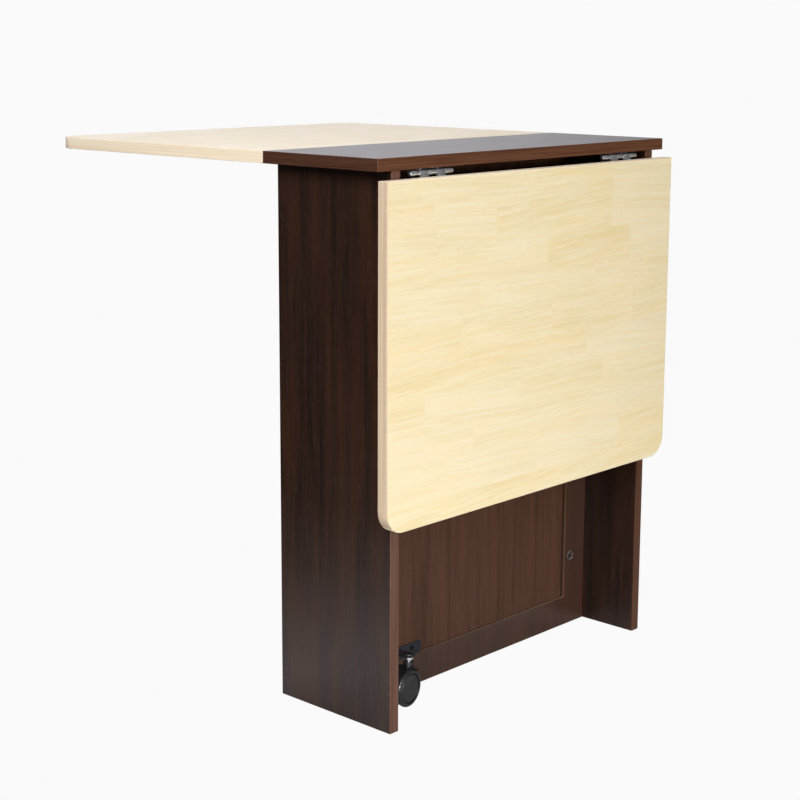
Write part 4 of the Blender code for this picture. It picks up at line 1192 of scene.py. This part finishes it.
def build_castors():
    """Bracket, screws, stem, hood, axle and two wheels on each gate."""
    screw = screw_mesh(BRACKET_SCREW_HEAD, BRACKET_SCREW_LENGTH)
    stem = stem_mesh()
    hood = hood_mesh()
    wheel = wheel_mesh()
    axle = axle_mesh()
    for row, side in (("front", -1), ("rear", 1)):
        gate = f"{row}_gate"
        name = f"{row}_castor"
        low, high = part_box(gate)
        seat = Matrix.Translation((STEM_X, low.y if side < 0 else high.y, 0))
        bracket = bracket_mesh(side)
        coats = [BLACK_STEEL, UPWARD_LIT_COAT]
        add_piece(f"{name}_angle", bracket, coats, gate, "black_steel", f"{name}_bracket", matrix=seat)
        for x, end in zip(BRACKET_SCREWS, ("left", "right")):
            matrix = seat @ bracket_screw_place(x, side)
            node = f"{name}_{end}_screw"
            add_piece(f"{name}_{end}_fixing", screw, [SCREW_BLACK], gate, "black_steel", node, matrix=matrix)
        stem_place = seat @ Matrix.Translation((0, side * CASTOR_STAND_OFF, 0))
        coats = [ZINC, BLACK_STEEL]
        add_piece(f"{name}_spindle", stem, coats, gate, "zinc_steel", f"{name}_stem", matrix=stem_place)
        swivel = stem_place @ Matrix.Rotation(-side * CASTOR_TURN, 4, "Z")
        middle = swivel @ Matrix.Translation((-CASTOR_TRAIL, 0, AXLE_HEIGHT))
        add_piece(f"{name}_body", hood, [HOOD_PLASTIC], name, "black_plastic", f"{name}_hood", matrix=middle)
        add_zinc(f"{name}_axle_pin", axle, name, middle, f"{name}_axle")
        for facing, end in ((-1, "front"), (1, "rear")):
            node = f"{name}_{end}_wheel"
            matrix = middle @ axes_matrix(Z_AXIS, facing * Y_AXIS)
            plastics = [DISC_PLASTIC, TREAD_PLASTIC]
            add_piece(f"{name}_{end}_disc", wheel, plastics, node, "black_plastic", node, matrix=matrix)


# Camera, light and floor


def add_camera(scene):
    data = bpy.data.cameras.new("camera")
    data.lens = CAMERA_LENS
    data.sensor_width = SENSOR
    data.sensor_fit = "HORIZONTAL"
    data.shift_x, data.shift_y = CAMERA_SHIFT
    camera = bpy.data.objects.new("camera", data)
    bpy.context.collection.objects.link(camera)
    turn = Matrix.Rotation(-CAMERA_YAW, 4, "Z") @ Matrix.Rotation(math.pi / 2 - CAMERA_PITCH, 4, "X")
    camera.matrix_world = Matrix.Translation(CAMERA_PLACE) @ turn @ Matrix.Rotation(CAMERA_ROLL, 4, "Z")
    scene.camera = camera
    scene.view_settings.view_transform = "Standard"


def add_room(scene):
    """Background: plain white in the picture, and a sky with a soft window for light and reflections."""
    world = bpy.data.worlds.new("studio")
    scene.world = world
    world.use_nodes = True
    tree = world.node_tree
    tree.nodes.clear()
    seen = put(tree, "ShaderNodeLightPath").outputs["Is Camera Ray"]
    way = put(tree, "ShaderNodeTexCoord").outputs["Generated"]
    height = put(tree, "ShaderNodeSeparateXYZ", {"Vector": way}).outputs["Z"]
    sky = remap(tree, height, 0.0, 1.0, SKY_LOW, SKY_HIGH)
    facing = vector_calc(tree, "DOT_PRODUCT", way, WINDOW_WAY.normalized(), output="Value")
    window = calc(tree, "MULTIPLY", spread(tree, facing, WINDOW_EDGE, 1.0), WINDOW_LIGHT)
    room = put(tree, "ShaderNodeBackground", {"Color": SKY_TINT, "Strength": calc(tree, "ADD", sky, window)})
    paper = put(tree, "ShaderNodeBackground", {"Color": WHITE, "Strength": PAPER_WHITE})
    mixed = put(tree, "ShaderNodeMixShader", {0: seen, 1: room.outputs[0], 2: paper.outputs[0]})
    put(tree, "ShaderNodeOutputWorld", {"Surface": mixed.outputs[0]})


def add_softbox(name, place, target, size, power):
    data = bpy.data.lights.new(name, "AREA")
    data.energy = power
    data.size = size
    light = bpy.data.objects.new(name, data)
    bpy.context.collection.objects.link(light)
    turn = (Vector(target) - Vector(place)).to_track_quat("-Z", "Y")
    light.matrix_world = Matrix.Translation(place) @ turn.to_matrix().to_4x4()
    light.visible_camera = False
    return light


def add_lights():
    key = add_softbox("key_softbox", **KEY_LIGHT)
    fill = add_softbox("fill_softbox", **FILL_LIGHT)
    rear = add_softbox("rear_softbox", **REAR_LIGHT)
    for light in (key, fill, rear):
        light.visible_glossy = False
    spark = add_softbox("spark_softbox", **SPARK_LIGHT)
    spark.visible_diffuse = False
    spark.data.spread = SPARK_SPREAD
    spark.data.shape = "RECTANGLE"
    spark.data.size_y = SPARK_LENGTH


def make_pale_floor():
    """Floor finish: white in the picture, with a glow onto the object that paints bounced light, fades far
    off and holds a painted shadow underneath.
    """
    material = bpy.data.materials.new("pale_floor")
    material.use_nodes = True
    tree = material.node_tree
    shader = tree.nodes["Principled BSDF"]
    shader.inputs["Base Color"].default_value = FLOOR_TONE
    shader.inputs["Roughness"].default_value = FLOOR_ROUGHNESS
    shader.inputs["Specular IOR Level"].default_value = 0.0
    shader.inputs["Emission Color"].default_value = WHITE
    place = put(tree, "ShaderNodeTexCoord").outputs["Object"]
    away = vector_calc(tree, "LENGTH", vector_calc(tree, "SUBTRACT", place, FLOOR_MIDDLE), output="Value")
    fade = remap(tree, away, FLOOR_NEAR, FLOOR_FAR, 1.0, FLOOR_DARK)
    reach = vector_calc(tree, "LENGTH", vector_calc(tree, "MULTIPLY", place, FLOOR_SQUEEZE), output="Value")
    # Painted shadow: the glow dims under the table.
    clear = remap(tree, reach, FLOOR_UNDER, FLOOR_NEAR, FLOOR_SHADE, 1.0)
    seen = put(tree, "ShaderNodeLightPath").outputs["Is Camera Ray"]
    glow = calc(tree, "MULTIPLY", calc(tree, "MULTIPLY", fade, clear), FLOOR_GLOW)
    bright = calc(tree, "MAXIMUM", calc(tree, "MULTIPLY", seen, FLOOR_WHITE), glow)
    tree.links.new(bright, shader.inputs["Emission Strength"])
    return material


def add_floor():
    shape = bmesh.new()
    bmesh.ops.create_grid(shape, x_segments=2, y_segments=2, size=FLOOR_HALF)
    floor = bpy.data.objects.new("floor", shape_mesh(shape, "floor"))
    bpy.context.collection.objects.link(floor)
    floor.location.z = -FLOOR_DROP
    floor.data.materials.append(make_pale_floor())


add_camera(bpy.context.scene)
add_room(bpy.context.scene)
add_lights()
add_floor()
build_carcass()
build_leaves_and_gates()
build_leaf_hinges()
build_gate_hinges()
build_blocks()
build_castors()
